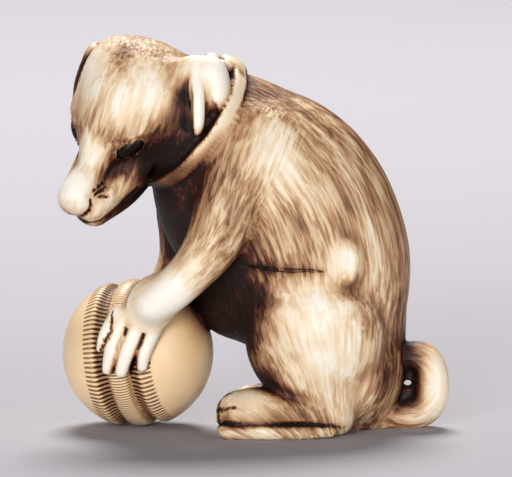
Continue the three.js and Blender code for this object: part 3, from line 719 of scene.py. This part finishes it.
def carving_maps(points, normals, field, sizes, strokes):
    """The patterns' coordinates, and the masks of stain, wear, painted shade and painted highlight, as named arrays
    of three numbers for each vertex.
    """
    squeeze = 1 / sizes.hair_length
    fields = nearest_group(points, {
        "torso": body_forms(), "head": head_forms() + near_ear_forms() + far_ear_forms(),
        "near_arm": arm_forms()[:3] + finger_forms(), "far_arm": arm_forms()[3:],
        "leg": thigh_forms() + foot_forms(), "tail": tail_forms(),
        "ball": [(BoundBall(sizes.ball_radius), 0.1)], "collar": [(Band(), 0.1)] + bow_forms(),
    })
    x, y, z = points.T

    # Torso: arcs round a middle in front of the belly, so the hairs run down the back and the flank.
    out = points[:, [0, 2]] - FLANK_TURN
    turn = np.arctan2(out[:, 1], out[:, 0])
    far = np.hypot(out[:, 0], out[:, 1])
    torso = np.stack([turn * 22 * squeeze, far, y], 1)
    # Head: back from the snout, rising with the brow.
    local = (points - HEAD_AT) @ HEAD.T
    rise = np.radians(32)
    along = local[:, 1] * np.cos(rise) - local[:, 2] * np.sin(rise)
    over = local[:, 1] * np.sin(rise) + local[:, 2] * np.cos(rise)
    head = np.stack([local[:, 0], along * squeeze, over], 1) + 40
    on_head_side = (points - NECK_AT) @ NECK_AXIS < -0.3
    coat = np.where(on_head_side[:, None], head, torso)

    # Limbs: along the foreleg, along the curl of the tail, and down to one point below the thigh.
    limb = np.zeros_like(points)
    near_way, far_way = unit([-0.62, -0.25, -0.74]), unit([-0.45, 0.2, -0.87])
    for name, rows, way in (("near_arm", NEAR_ARM, near_way), ("far_arm", FAR_ARM, far_way)):
        rows = np.array(rows)
        rows = np.vstack([4 * rows[0] - 3 * rows[1], rows, 4 * rows[-1] - 3 * rows[-2]])
        along, offset = Roll(rows).follow(points)
        fields[name + "_map"] = offset + along[:, None] * squeeze * way
    out = points[:, [0, 2]] - THIGH_ROOT
    leg_map = np.stack([np.arctan2(out[:, 0], out[:, 1]) * 13, y, np.hypot(out[:, 0], out[:, 1]) * squeeze], 1)
    out = points[:, [0, 2]] - TAIL_TURN
    tail_map = np.stack([np.arctan2(out[:, 1], -out[:, 0]) * 3 * squeeze, y, np.hypot(out[:, 0], out[:, 1])], 1)
    names = ["near_arm", "far_arm", "leg", "tail"]
    owner = np.argmin([fields[name] for name in names], 0)
    maps = [fields["near_arm_map"], fields["far_arm_map"], leg_map, tail_map]
    for number, rows in enumerate(maps):
        limb[owner == number] = rows[owner == number]
    limb_weight = smoothstep(-0.8, 0.8, np.minimum(fields["torso"], fields["head"])
                             - np.min([fields[name] for name in names], 0))

    # Ball: mm round the seam, mm off the seam, and whether this is the ball at all.
    q = points - BALL_AT
    up = across([0, 0, 1], SEAM)
    side = np.cross(SEAM, up)
    off = q @ SEAM
    round_seam = np.arctan2(q @ side, q @ up) * sizes.ball_radius
    others = np.min([fields[name] for name in ("torso", "near_arm", "far_arm", "leg", "head")], 0)
    is_ball = smoothstep(-0.12, 0.12, others - fields["ball"])
    ball = np.stack([round_seam, off, is_ball], 1)

    # Hollowness at three reaches, used in the ivory's colour as painted shade in the hollows; the finest reach also
    # stands for stain held in the creases.
    hollow = np.stack([
        hollowness(points, normals, field, (0.25, 0.5)),
        hollowness(points, normals, field, (1.0, 1.8)),
        hollowness(points, normals, field, (3.0, 5.0)),
    ], 1)
    ridge = smoothstep(0.12, 0.55, bend_of(points, normals, field, 0.5))
    ink = stroke_stain(points, strokes)
    is_collar = smoothstep(-0.1, 0.15, np.minimum(fields["torso"], fields["head"]) - fields["collar"])
    local[:, 0] = np.abs(local[:, 0])                 # both sides get the same wear, stain, painted shade and painted highlight
    folded = np.stack([x, -np.abs(y), z], 1)
    beyond = smoothstep(-1.5, 0.5, (points - NECK_AT) @ NECK_AXIS)
    # The masks below: wear with painted highlight on the high places, stain with painted shade in the chest, belly,
    # thigh front and cheeks, and bare skin without hairs.
    wear_and_highlight, stained, bare = (1 - np.exp(-spots(local, on_the_head) * (1 - beyond) - spots(folded, on_the_body) * beyond)
                           for on_the_head, on_the_body in ((HEAD_WEAR_AND_HIGHLIGHT, BODY_WEAR_AND_HIGHLIGHT), (HEAD_STAIN_AND_SHADE, BODY_STAIN_AND_SHADE),
                                                            (HEAD_BARE, BODY_BARE)))
    is_collar = np.maximum(is_collar, bare)
    finish_and_painted_light = np.stack([limb_weight, wear_and_highlight, stained], 1)
    parts = np.stack([is_collar, ridge, ink], 1)
    return {"coat": coat, "limb": limb, "ball": ball, "hollow": hollow, "finish_and_painted_light": finish_and_painted_light, "parts": parts}


# Patches that hands have rubbed pale, partly painted highlight on the high places, and patches where the stain lies
# thick, partly painted shade in the chest, belly, thigh front and cheeks: x, y, z, radius, strength.
# Partly painted highlight: the shoulder, the thigh, the paws and the foot are lightened where the light falls; partly
# wear.
BODY_WEAR_AND_HIGHLIGHT = [
    (1.1, -8, 31, 2.6, 1.3), (3.5, -8.5, 28, 2.8, 0.7), (-3, -9, 24, 2.2, 0.4), (-6.3, -10.4, 19.1, 2.2, 1.2),
    (-9, -10, 15.5, 2.6, 1.6), (-11, -9.8, 13, 3, 2), (-13.5, -8.5, 9.5, 3.2, 2), (-14.4, -7.5, 11.6, 2.4, 2),
    (6.5, -9.5, 13.5, 3.4, 2), (7.5, -9.5, 8.5, 3.2, 1.8), (9.4, -8.4, 18.8, 1.7, 1.8), (0, -8.9, 4.2, 2.6, 2),
    (9.5, -8.5, 3, 2.2, 1.2), (19.4, -1.5, 5.5, 2.4, 0.8), (11, -6, 22, 2, 0.3), (6.5, -8.5, 25, 2, 0.3),
    (13.8, -4.9, 18, 3, 0.3),
]
# Painted shade: the chest, the belly, the gap under the near arm and the thigh's front edge; the rest is stain.
BODY_STAIN_AND_SHADE = [
    (-8.5, -2.5, 23.5, 4.6, 3), (-3.2, -2, 15.5, 4.4, 3.5), (-2.6, -6, 18.8, 2.2, 1.6), (14, -5, 6, 2.6, 0.5),
    (14.5, -4.5, 11, 2.4, 0.15), (1.8, -9, 21.5, 3, 0.25), (-0.8, -6, 11, 2.2, 2.2), (0, -6.5, 14.5, 1.9, 1.5),
    (1.6, -7.6, 6, 1.7, 1), (-5, -6.5, 29, 3, 0.3), (-1, -10, 0.8, 1.2, 0.3), (0.4, -3.2, 35.8, 2, 0.4),
    (3.2, -9, 4.6, 1.3, 0.35), (1.6, -8.3, 18.2, 1.2, 0.5), (4.6, -8.4, 18.1, 1.1, 0.4),
    (17.2, -1.2, 7.8, 1.1, 0.5), (16.8, -1.5, 6, 1.3, 0.7), (17, -1.2, 3.6, 1.2, 0.5),
    (-2.5, -2.2, 38.8, 0.6, 1), (-1.5, -2.6, 38, 0.6, 1), (-4, -3, 39.3, 0.6, 0.8),
]
BODY_BARE = [
    (-9.5, -10, 15.5, 2.2, 2), (-11.5, -9.5, 12.5, 3.2, 2), (-14, -8, 9, 3.4, 2), (19, -1, 4.5, 2.8, 1.5),
    (-1, -9, 4, 2, 1),
]
# Partly painted highlight: the brow, the snout ridge and the ear are lightened where the light falls; partly wear.
HEAD_WEAR_AND_HIGHLIGHT = [
    (3.4, 0.3, 4.2, 2.6, 2.2), (1.5, 3.5, 4, 2.2, 1), (0.4, 8.5, 1, 1.4, 2), (0.4, 12, 0, 1.6, 1.6),
    (3, 4.6, 2.6, 1.3, 0.8), (8.9, -3.6, 2.8, 2.6, 3), (9, 0.2, 1.7, 1.4, 2), (2.4, 10.4, -3.8, 1.4, 0.6),
    (4.2, 3.4, 2.6, 1, 0.4),
]
# Partly painted shade: the patches on the cheeks, round the ears and beside the snout darken where shade falls; the
# others are stain.
HEAD_STAIN_AND_SHADE = [
    (5.2, 4.2, -2.4, 1.7, 2.2), (6.6, 2.6, -1.5, 1.6, 2.5), (7.2, 0.8, -0.1, 1.2, 2.5),
    (4.5, 5.2, -4, 1.3, 1.5), (7.4, 3.8, -3.4, 2, 2.5), (6.2, 2.8, -4.8, 2.2, 2.5), (4.6, 0.6, -5.4, 3, 2),
    (6.9, -1, 1.5, 0.9, 2.5), (6.3, -0.2, 1.6, 1, 1.6), (6.1, 1.3, 0.7, 1.2, 1.8), (5.4, 2.8, -0.2, 1.1, 1.5),
    (2, 7.2, -1.3, 0.8, 0.7), (1.5, 8.2, -1.5, 0.8, 0.5), (1.3, 9.4, -1.7, 0.7, 0.35),
    (2.6, 6.2, -1.4, 0.8, 0.3), (5.2, -1.8, 4.2, 1.6, 0.2), (0, -1.5, 5.9, 2.5, 0.2), (9.1, 0.9, -0.8, 1, 1.2),
    (9.6, -1, -0.2, 1.3, 0.7), (2, 8.6, -7.2, 1.8, 0.6), (2.1, 5.6, 1.2, 0.7, 0.15),
]
HEAD_BARE = [(9, -2.6, 1.6, 3, 2.5), (0.5, 12.5, -2, 2, 2), (9.2, 0.6, 1.2, 1.5, 2)]


# ---- meshes and nodes ------------------------------------------------------------------------------------

def new_piece(name, places, faces, material):
    """A smooth mesh object from an array of places in metres and a list of faces."""
    mesh = bpy.data.meshes.new(name)
    mesh.from_pydata(places.tolist(), [], faces)
    mesh.polygons.foreach_set("use_smooth", np.ones(len(mesh.polygons), bool))
    mesh.materials.append(material)
    mesh.update()
    piece = bpy.data.objects.new(name, mesh)
    bpy.context.scene.collection.objects.link(piece)
    return piece


def ring_faces(rings, around):
    """Faces between rings of places, one ring after another; and the first and last ring's edges, as pairs."""
    index = np.arange(rings * around).reshape(rings, around)
    turned = np.roll(index, -1, 1)
    sides = np.stack([index[:-1], index[1:], turned[1:], turned[:-1]], -1).reshape(-1, 4).tolist()
    first, last = (np.stack([index[k], turned[k]], -1).tolist() for k in (0, -1))
    return sides, first, last


def paint(piece, maps):
    """Puts arrays of three numbers for each vertex on a mesh as named attributes."""
    for name, rows in maps.items():
        attribute = piece.data.attributes.new(name, "FLOAT_VECTOR", "POINT")
        attribute.data.foreach_set("vector", np.ascontiguousarray(rows, np.float32).ravel())


def linear(colour):
    """An sRGB hex colour as linear red, green, blue and an alpha of 1."""
    parts = [int(colour[k:k + 2], 16) / 255 for k in (0, 2, 4)]
    return [c / 12.92 if c <= 0.04045 else ((c + 0.055) / 1.055) ** 2.4 for c in parts] + [1]


def add(tree, kind, inputs=None, **settings):
    """Adds a node with its settings; an input is a value, or a socket to link from."""
    made = tree.nodes.new(kind)
    for name, value in settings.items():
        setattr(made, name, value)
    for key, value in (inputs or {}).items():
        if isinstance(value, bpy.types.NodeSocket):
            tree.links.new(value, made.inputs[key])
        else:
            made.inputs[key].default_value = value
    return made


def blank_material(name):
    """A material with an empty tree, and its shader and output."""
    material = bpy.data.materials.new(name)
    material.use_nodes = True
    tree = material.node_tree
    tree.nodes.clear()
    shader = add(tree, "ShaderNodeBsdfPrincipled")
    add(tree, "ShaderNodeOutputMaterial", {"Surface": shader.outputs["BSDF"]})
    return material, tree, shader


def set_ramp(ramp, stops):
    """Sets a colour ramp's stops from pairs of position and linear colour."""
    elements = ramp.color_ramp.elements
    while len(elements) > 1:
        elements.remove(elements[-1])
    elements[0].position, elements[0].color = stops[0]
    for position, colour in stops[1:]:
        elements.new(position).color = colour


def ivory_material(colours, sizes):
    """Elephant-tooth ivory, carved, stained and polished: close-grained, slightly waxy and translucent, so it gives a
    soft broad gloss; brown stain stays in the engraved hairs and hollows and is rubbed off the highs, and the colour
    also carries painted shade in the hollows and painted highlight on the highs."""
    material, tree, shader = blank_material("Polished stained ivory")

    def parts_of(name):
        attribute = add(tree, "ShaderNodeAttribute", attribute_name=name)
        return attribute.outputs["Vector"], add(tree, "ShaderNodeSeparateXYZ", {0: attribute.outputs["Vector"]})

    def calc(operation, *values, clamp=False):
        inputs = dict(enumerate(values))
        return add(tree, "ShaderNodeMath", inputs, operation=operation, use_clamp=clamp).outputs[0]

    coat, _ = parts_of("coat")
    limb, _ = parts_of("limb")
    _, ball = parts_of("ball")
    _, hollow = parts_of("hollow")
    _, finish_and_painted_light = parts_of("finish_and_painted_light")
    _, parts = parts_of("parts")
    here = add(tree, "ShaderNodeTexCoord").outputs["Object"]

    def hairs(spacing, detail, roughness):
        """Noise drawn out along the hairs of the coat and of the limbs, mixed where they meet."""
        pair = [add(tree, "ShaderNodeTexNoise", {
            "Vector": way, "Scale": 1 / spacing, "Detail": detail, "Roughness": roughness, "Distortion": 0.25,
        }).outputs["Fac"] for way in (coat, limb)]
        return add(tree, "ShaderNodeMix", {0: finish_and_painted_light.outputs["X"], 2: pair[0], 3: pair[1]}).outputs[0]

    fine = hairs(sizes.hair_spacing * 1.2, 3.0, 0.62)
    lock = hairs(sizes.hair_spacing * 5, 3.0, 0.55)
    cloud = add(tree, "ShaderNodeTexNoise", {"Vector": here, "Scale": 160.0, "Detail": 3.0}).outputs["Fac"]
    line = add(tree, "ShaderNodeMapRange", {
        "Value": fine, "From Min": 0.64, "From Max": 0.32, "To Min": 0.0, "To Max": 1.0,
    }, interpolation_type="SMOOTHSTEP").outputs[0]

    furry = calc("SUBTRACT", 1.0, calc("MAXIMUM", ball.outputs["Z"], parts.outputs["X"]), clamp=True)
    # rubbed falls where wear and painted highlight lighten the high places
    rubbed = calc("MULTIPLY_ADD", finish_and_painted_light.outputs["Y"], -0.75, 1.0, clamp=True)
    hair = calc("MULTIPLY", calc("MULTIPLY", line, furry), rubbed)

    # The binding: short cuts across both rims of the groove, and finer ones across the strap.
    wobble = calc("MULTIPLY_ADD", cloud, 0.5, ball.outputs["X"])
    off = calc("ABSOLUTE", ball.outputs["Y"])

    def cuts(spacing, width):
        beat = calc("PINGPONG", calc("DIVIDE", wobble, spacing), 0.5)
        return add(tree, "ShaderNodeMapRange", {
            "Value": beat, "From Min": width, "From Max": width * 0.4, "To Min": 0.0, "To Max": 1.0,
        }, interpolation_type="SMOOTHSTEP").outputs[0]

    def between(low, high, soft):
        rise = add(tree, "ShaderNodeMapRange", {"Value": off, "From Min": low - soft, "From Max": low + soft})
        fall = add(tree, "ShaderNodeMapRange", {"Value": off, "From Min": high + soft, "From Max": high - soft})
        return calc("MULTIPLY", rise.outputs[0], fall.outputs[0])

    rim_cuts = calc("MULTIPLY", cuts(sizes.stitch_spacing, 0.3), between(1.3, 3.7, 0.12))
    groove = calc("MULTIPLY", between(1.05, 2.35, 0.25), ball.outputs["Z"])
    strap_cuts = calc("MULTIPLY", cuts(sizes.stitch_spacing * 0.6, 0.24), between(-1, 1.05, 0.1))
    stitch = calc("MULTIPLY", calc("MAXIMUM", rim_cuts, strap_cuts), ball.outputs["Z"])

    # Stain and painted light: stain thick in the cut lines, patchy in the coat and thin on the ball; stain and
    # painted shade in the hollows and the dark patches; wear and painted highlight lighten the rubbed places.
    coated = calc("MULTIPLY", furry, rubbed)
    off_ball = calc("SUBTRACT", 1.0, ball.outputs["Z"])
    stain = calc("MULTIPLY_ADD", ball.outputs["Z"], -0.13, 0.12)
    for mask, strength in (
        (hair, 0.3),
        (coated, 0.12),
        (calc("MULTIPLY", calc("SUBTRACT", 0.5, lock), coated), 0.65),
        (calc("SUBTRACT", 0.5, cloud), 0.4),
        # hollowness darkens as painted shade: the finest reach also stands for stain held in the creases, the two
        # wider ones are painted shade only
        (hollow.outputs["X"], 0.3),
        (calc("MULTIPLY", hollow.outputs["Y"], calc("MAXIMUM", off_ball, 0.3)), 0.45),
        (calc("MULTIPLY", hollow.outputs["Z"], off_ball), 0.3),
        (groove, 0.45),
        # the dark patches: stain, and painted shade in the chest, belly, thigh front and cheeks
        (calc("MULTIPLY", finish_and_painted_light.outputs["Z"], calc("MULTIPLY_ADD", lock, -0.6, 1.2)), 0.78),
        # the rubbed patches: wear, and painted highlight on the high places
        (finish_and_painted_light.outputs["Y"], -0.17),
        (parts.outputs["Y"], -0.08),
        (stitch, 0.6),
        (parts.outputs["Z"], 0.9),
    ):
        stain = calc("MULTIPLY_ADD", mask, strength, stain)
    stain = calc("MAXIMUM", stain, 0.0, clamp=True)
    coat_ramp = add(tree, "ShaderNodeValToRGB", {"Fac": stain})
    dark = [(0.62, linear(colours.umber)), (0.78, linear(colours.dark_stain_and_shade)), (1.0, linear(colours.black_stain_and_shade))]
    set_ramp(coat_ramp, [(0.0, linear(colours.cream)), (0.2, linear(colours.honey)),
                         (0.4, linear(colours.tan)), *dark])
    ball_ramp = add(tree, "ShaderNodeValToRGB", {"Fac": stain})
    set_ramp(ball_ramp, [(0.0, linear(colours.pale_peach)), (0.15, linear(colours.peach)),
                         (0.42, linear(colours.tan)), *dark])
    colour = add(tree, "ShaderNodeMix", {
        0: ball.outputs["Z"], 6: coat_ramp.outputs["Color"], 7: ball_ramp.outputs["Color"],
    }, data_type="RGBA").outputs[2]

    height = calc("MULTIPLY_ADD", hair, -0.6, calc("MULTIPLY", lock, furry))
    height = calc("MULTIPLY_ADD", stitch, -1.3, height)
    bump = add(tree, "ShaderNodeBump", {"Strength": 0.8, "Distance": 0.00012, "Height": height})
    roughness = calc("MULTIPLY_ADD", stain, 0.25, 0.33)
    for key, value in (("Base Color", colour), ("Roughness", roughness), ("Normal", bump.outputs["Normal"])):
        tree.links.new(value, shader.inputs[key])
    shader.inputs["IOR"].default_value = 1.36
    shader.inputs["Subsurface Weight"].default_value = 0.12
    shader.inputs["Subsurface Radius"].default_value = (1.0, 0.6, 0.35)
    shader.inputs["Subsurface Scale"].default_value = 0.0006
    return material


def horn_material(colours):
    """Dark buffalo horn, turned and polished: dense and nearly black, so it gives one small hard glint."""
    material, tree, shader = blank_material("Polished dark horn")
    here = add(tree, "ShaderNodeTexCoord").outputs["Object"]
    grain = add(tree, "ShaderNodeTexNoise", {"Vector": here, "Scale": 1400.0, "Detail": 3.0}).outputs["Fac"]
    ramp = add(tree, "ShaderNodeValToRGB", {"Fac": grain})
    set_ramp(ramp, [(0.3, linear(colours.horn)), (0.8, linear("1C0F09"))])
    tree.links.new(ramp.outputs["Color"], shader.inputs["Base Color"])
    shader.inputs["Roughness"].default_value = 0.3
    shader.inputs["IOR"].default_value = 1.25
    return material


def paper_material(stage):
    """Matt cotton paper for the sweep: it scatters light evenly and has no gloss."""
    material, tree, shader = blank_material("Matt backdrop paper")
    here = add(tree, "ShaderNodeTexCoord").outputs["Object"]
    tooth = add(tree, "ShaderNodeTexNoise", {"Vector": here, "Scale": 900.0, "Detail": 2.0}).outputs["Fac"]
    bump = add(tree, "ShaderNodeBump", {"Strength": 0.1, "Distance": 0.0001, "Height": tooth})
    tree.links.new(bump.outputs["Normal"], shader.inputs["Normal"])
    shader.inputs["Base Color"].default_value = linear(stage.paper)
    shader.inputs["Roughness"].default_value = 0.95
    return material


# ---- operators --------------------------------------------------------------------------------------------

def frame_shift(low, high):
    """From the carver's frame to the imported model's, in mm: the carving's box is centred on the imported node's."""
    box_low, box_high = (np.array(corner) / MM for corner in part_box("dog_and_ball"))
    middle = (box_low + box_high) / 2 - (low + high) / 2
    return np.array([middle[0], middle[1], box_low[2] - low[2]])


class NETSUKE_OT_carving(bpy.types.Operator):
    """Make the dog and its ball: one block of ivory, carved, engraved, stained and polished"""
    bl_idname = "netsuke.carving"
    bl_label = "Carving"

    def execute(self, context):
        sizes, colours = context.scene.netsuke_sizes, context.scene.netsuke_colours
        step = sizes.step * 1
        strokes = strokes_on_skin(sizes.ball_radius)

        def plain(places):
            return carving_field(places, sizes.ball_radius)

        def field(places):
            return carving_field(places, sizes.ball_radius, strokes)

        def detailed(places):
            """Where the face, the toes and the strokes need smaller cells."""
            eyes = np.minimum(eye_egg(1, 0.5).distance(places), eye_egg(-1, 0.5).distance(places))
            return (stroke_stain(places, strokes) > 0.02) | (eyes < 0.3)

        low, high = np.array([[-21.5, -12.5, -1.0], [21.8, 12.5, 42.8]])      # a box with room round the carving
        counts = np.ceil((high - low) / step).astype(int)
        points, faces = surface_net(sample_field(low, counts, step, plain), low, step)
        points, _ = settle(points, plain, rounds=1)
        faces = faces.tolist()
        for _ in range(2):
            points, faces = finer(points, faces, detailed(points))
            near = detailed(points)
            points[near] = settle(points[near], plain, rounds=2)[0]
        flat = points[:, 2] < 0.02
        points, normals = settle(points, field)
        points[flat, 2] = 0
        maps = carving_maps(points, normals, field, sizes, strokes)
        shift = frame_shift(points.min(0), points.max(0))
        context.scene["netsuke_shift"] = shift.tolist()
        piece = new_piece("carving", (points + shift) * MM, faces, ivory_material(colours, sizes))
        paint(piece, maps)
        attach(piece, BODY)
        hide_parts("dog_and_ball")
        return {"FINISHED"}


class NETSUKE_OT_eyes(bpy.types.Operator):
    """Make the two eyes: polished domes of dark horn, set into their sockets"""
    bl_idname = "netsuke.eyes"
    bl_label = "Eyes"

    def execute(self, context):
        shift = np.array(context.scene["netsuke_shift"])
        horn = horn_material(context.scene.netsuke_colours)
        # An ellipsoid: angles u round its long axis and v along it; its two ends close to points.
        around, rings = 40, 19
        u, v = np.meshgrid(np.arange(around) / around * 2 * np.pi, np.arange(1, rings + 1) / (rings + 1) * np.pi)
        ball = np.stack([np.cos(v), np.sin(v) * np.cos(u), np.sin(v) * np.sin(u)], -1).reshape(-1, 3)
        ball = np.vstack([ball, [1, 0, 0], [-1, 0, 0]])
        sides, first, last = ring_faces(rings, around)
        first_end, last_end = rings * around, rings * around + 1
        faces = ([row + [first_end] for row in first] + [row[::-1] + [last_end] for row in last] + sides)
        for side, name in ((1, "left"), (-1, "right")):
            egg = eye_egg(side, 0)
            places = egg.at + (ball * egg.half) @ egg.axes + shift
            piece = new_piece(name + "_eye_dome", places * MM, faces, horn)
            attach(piece, BODY)
            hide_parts(name + "_eye")
        return {"FINISHED"}


class NETSUKE_OT_stage(bpy.types.Operator):
    """Make the pale paper floor, the soft lights and the camera"""
    bl_idname = "netsuke.stage"
    bl_label = "Stage"

    def execute(self, context):
        stage = context.scene.netsuke_stage
        # A round sweep: flat out to `flat`, then rising as a quarter arc of radius `bend`; metres.
        flat, bend, around = 2.2, 2.4, 64
        r = np.concatenate([np.linspace(0.2, flat, 7), np.linspace(flat + 0.1, flat + 2.1, 13)])[:, None]
        a = np.arange(around) / around * 2 * np.pi
        height = bend * (1 - np.sqrt(1 - (np.maximum(r - flat, 0) / bend) ** 2))
        grid = np.stack([r * np.cos(a), r * np.sin(a), height + 0 * a], -1)
        places = np.vstack([grid.reshape(-1, 3), [[0, 0, 0]]]) + [0, 0, CAD_BOX[0][2]]
        sides, first, _ = ring_faces(len(r), around)
        floor = new_piece("floor", places, sides + [row + [len(places) - 1] for row in first], paper_material(stage))
        floor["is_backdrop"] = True

        low, high = (np.array(c) for c in CAD_BOX)
        middle = Vector(((low + high) / 2).tolist())
        lamps = [
            ("key", (-0.02, 0.42, 0.62), 0.34, 7.2, (1.0, 0.98, 0.96)),
            ("front_fill", (-0.4, -1.4, 0.3), 0.6, 14.6, (0.99, 0.98, 0.99)),
            ("side_fill", (0.8, -1.1, 0.2), 0.5, 5.0, (0.98, 0.98, 1.0)),
        ]
        for name, at, size, power, colour in lamps:
            light = bpy.data.lights.new(name, "AREA")
            light.shape, light.size, light.energy, light.color = "DISK", size, power, colour
            lamp = bpy.data.objects.new(name, light)
            lamp.location = at
            lamp.rotation_euler = (middle - Vector(at)).to_track_quat("-Z", "Y").to_euler()
            lamp.visible_camera = False
            context.scene.collection.objects.link(lamp)

        world = bpy.data.worlds.new("Soft room light")
        world.use_nodes = True
        shade = next(n for n in world.node_tree.nodes if n.type == "BACKGROUND")
        shade.inputs["Color"].default_value = linear("E4E2E8")
        shade.inputs["Strength"].default_value = 0.18
        context.scene.world = world

        camera = bpy.data.cameras.new("camera")
        camera.lens, camera.sensor_width = stage.lens, 36.0
        camera.clip_start, camera.clip_end = 0.01, 20.0
        eye = bpy.data.objects.new("camera", camera)
        tilt = np.radians(stage.elevation)
        back = Vector((0, -np.cos(tilt), np.sin(tilt)))
        target = Vector((0.0002, 0, low[2] + 0.02015))
        eye.location = target + back * (stage.view_width * MM * stage.lens / camera.sensor_width)
        eye.rotation_euler = (-back).to_track_quat("-Z", "Y").to_euler()
        context.scene.collection.objects.link(eye)
        context.scene.camera = eye
        context.scene.view_settings.view_transform = "Standard"
        return {"FINISHED"}


class NETSUKE_PT_panel(bpy.types.Panel):
    """Lists the steps in the 3D view's sidebar"""
    bl_idname = "NETSUKE_PT_panel"
    bl_label = "Netsuke"
    bl_space_type = "VIEW_3D"
    bl_region_type = "UI"
    bl_category = "Netsuke"

    def draw(self, context):
        for step in STEPS:
            self.layout.operator(step.bl_idname)


STEPS = (NETSUKE_OT_stage, NETSUKE_OT_carving, NETSUKE_OT_eyes)
CLASSES = (CarvingSizes, FinishColours, StageSettings, *STEPS, NETSUKE_PT_panel)


def register():
    for item in CLASSES:
        bpy.utils.register_class(item)
    bpy.types.Scene.netsuke_sizes = PointerProperty(type=CarvingSizes)
    bpy.types.Scene.netsuke_colours = PointerProperty(type=FinishColours)
    bpy.types.Scene.netsuke_stage = PointerProperty(type=StageSettings)


def unregister():
    del bpy.types.Scene.netsuke_stage
    del bpy.types.Scene.netsuke_colours
    del bpy.types.Scene.netsuke_sizes
    for item in reversed(CLASSES):
        bpy.utils.unregister_class(item)


def main():
    register()
    bpy.ops.netsuke.stage()
    bpy.ops.netsuke.carving()
    bpy.ops.netsuke.eyes()
    boxes = {"cad": CAD_BOX, "visual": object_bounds()}
    {key: [list(corner) for corner in box] for key, box in boxes.items()}


if __name__ == "__main__":
    main()
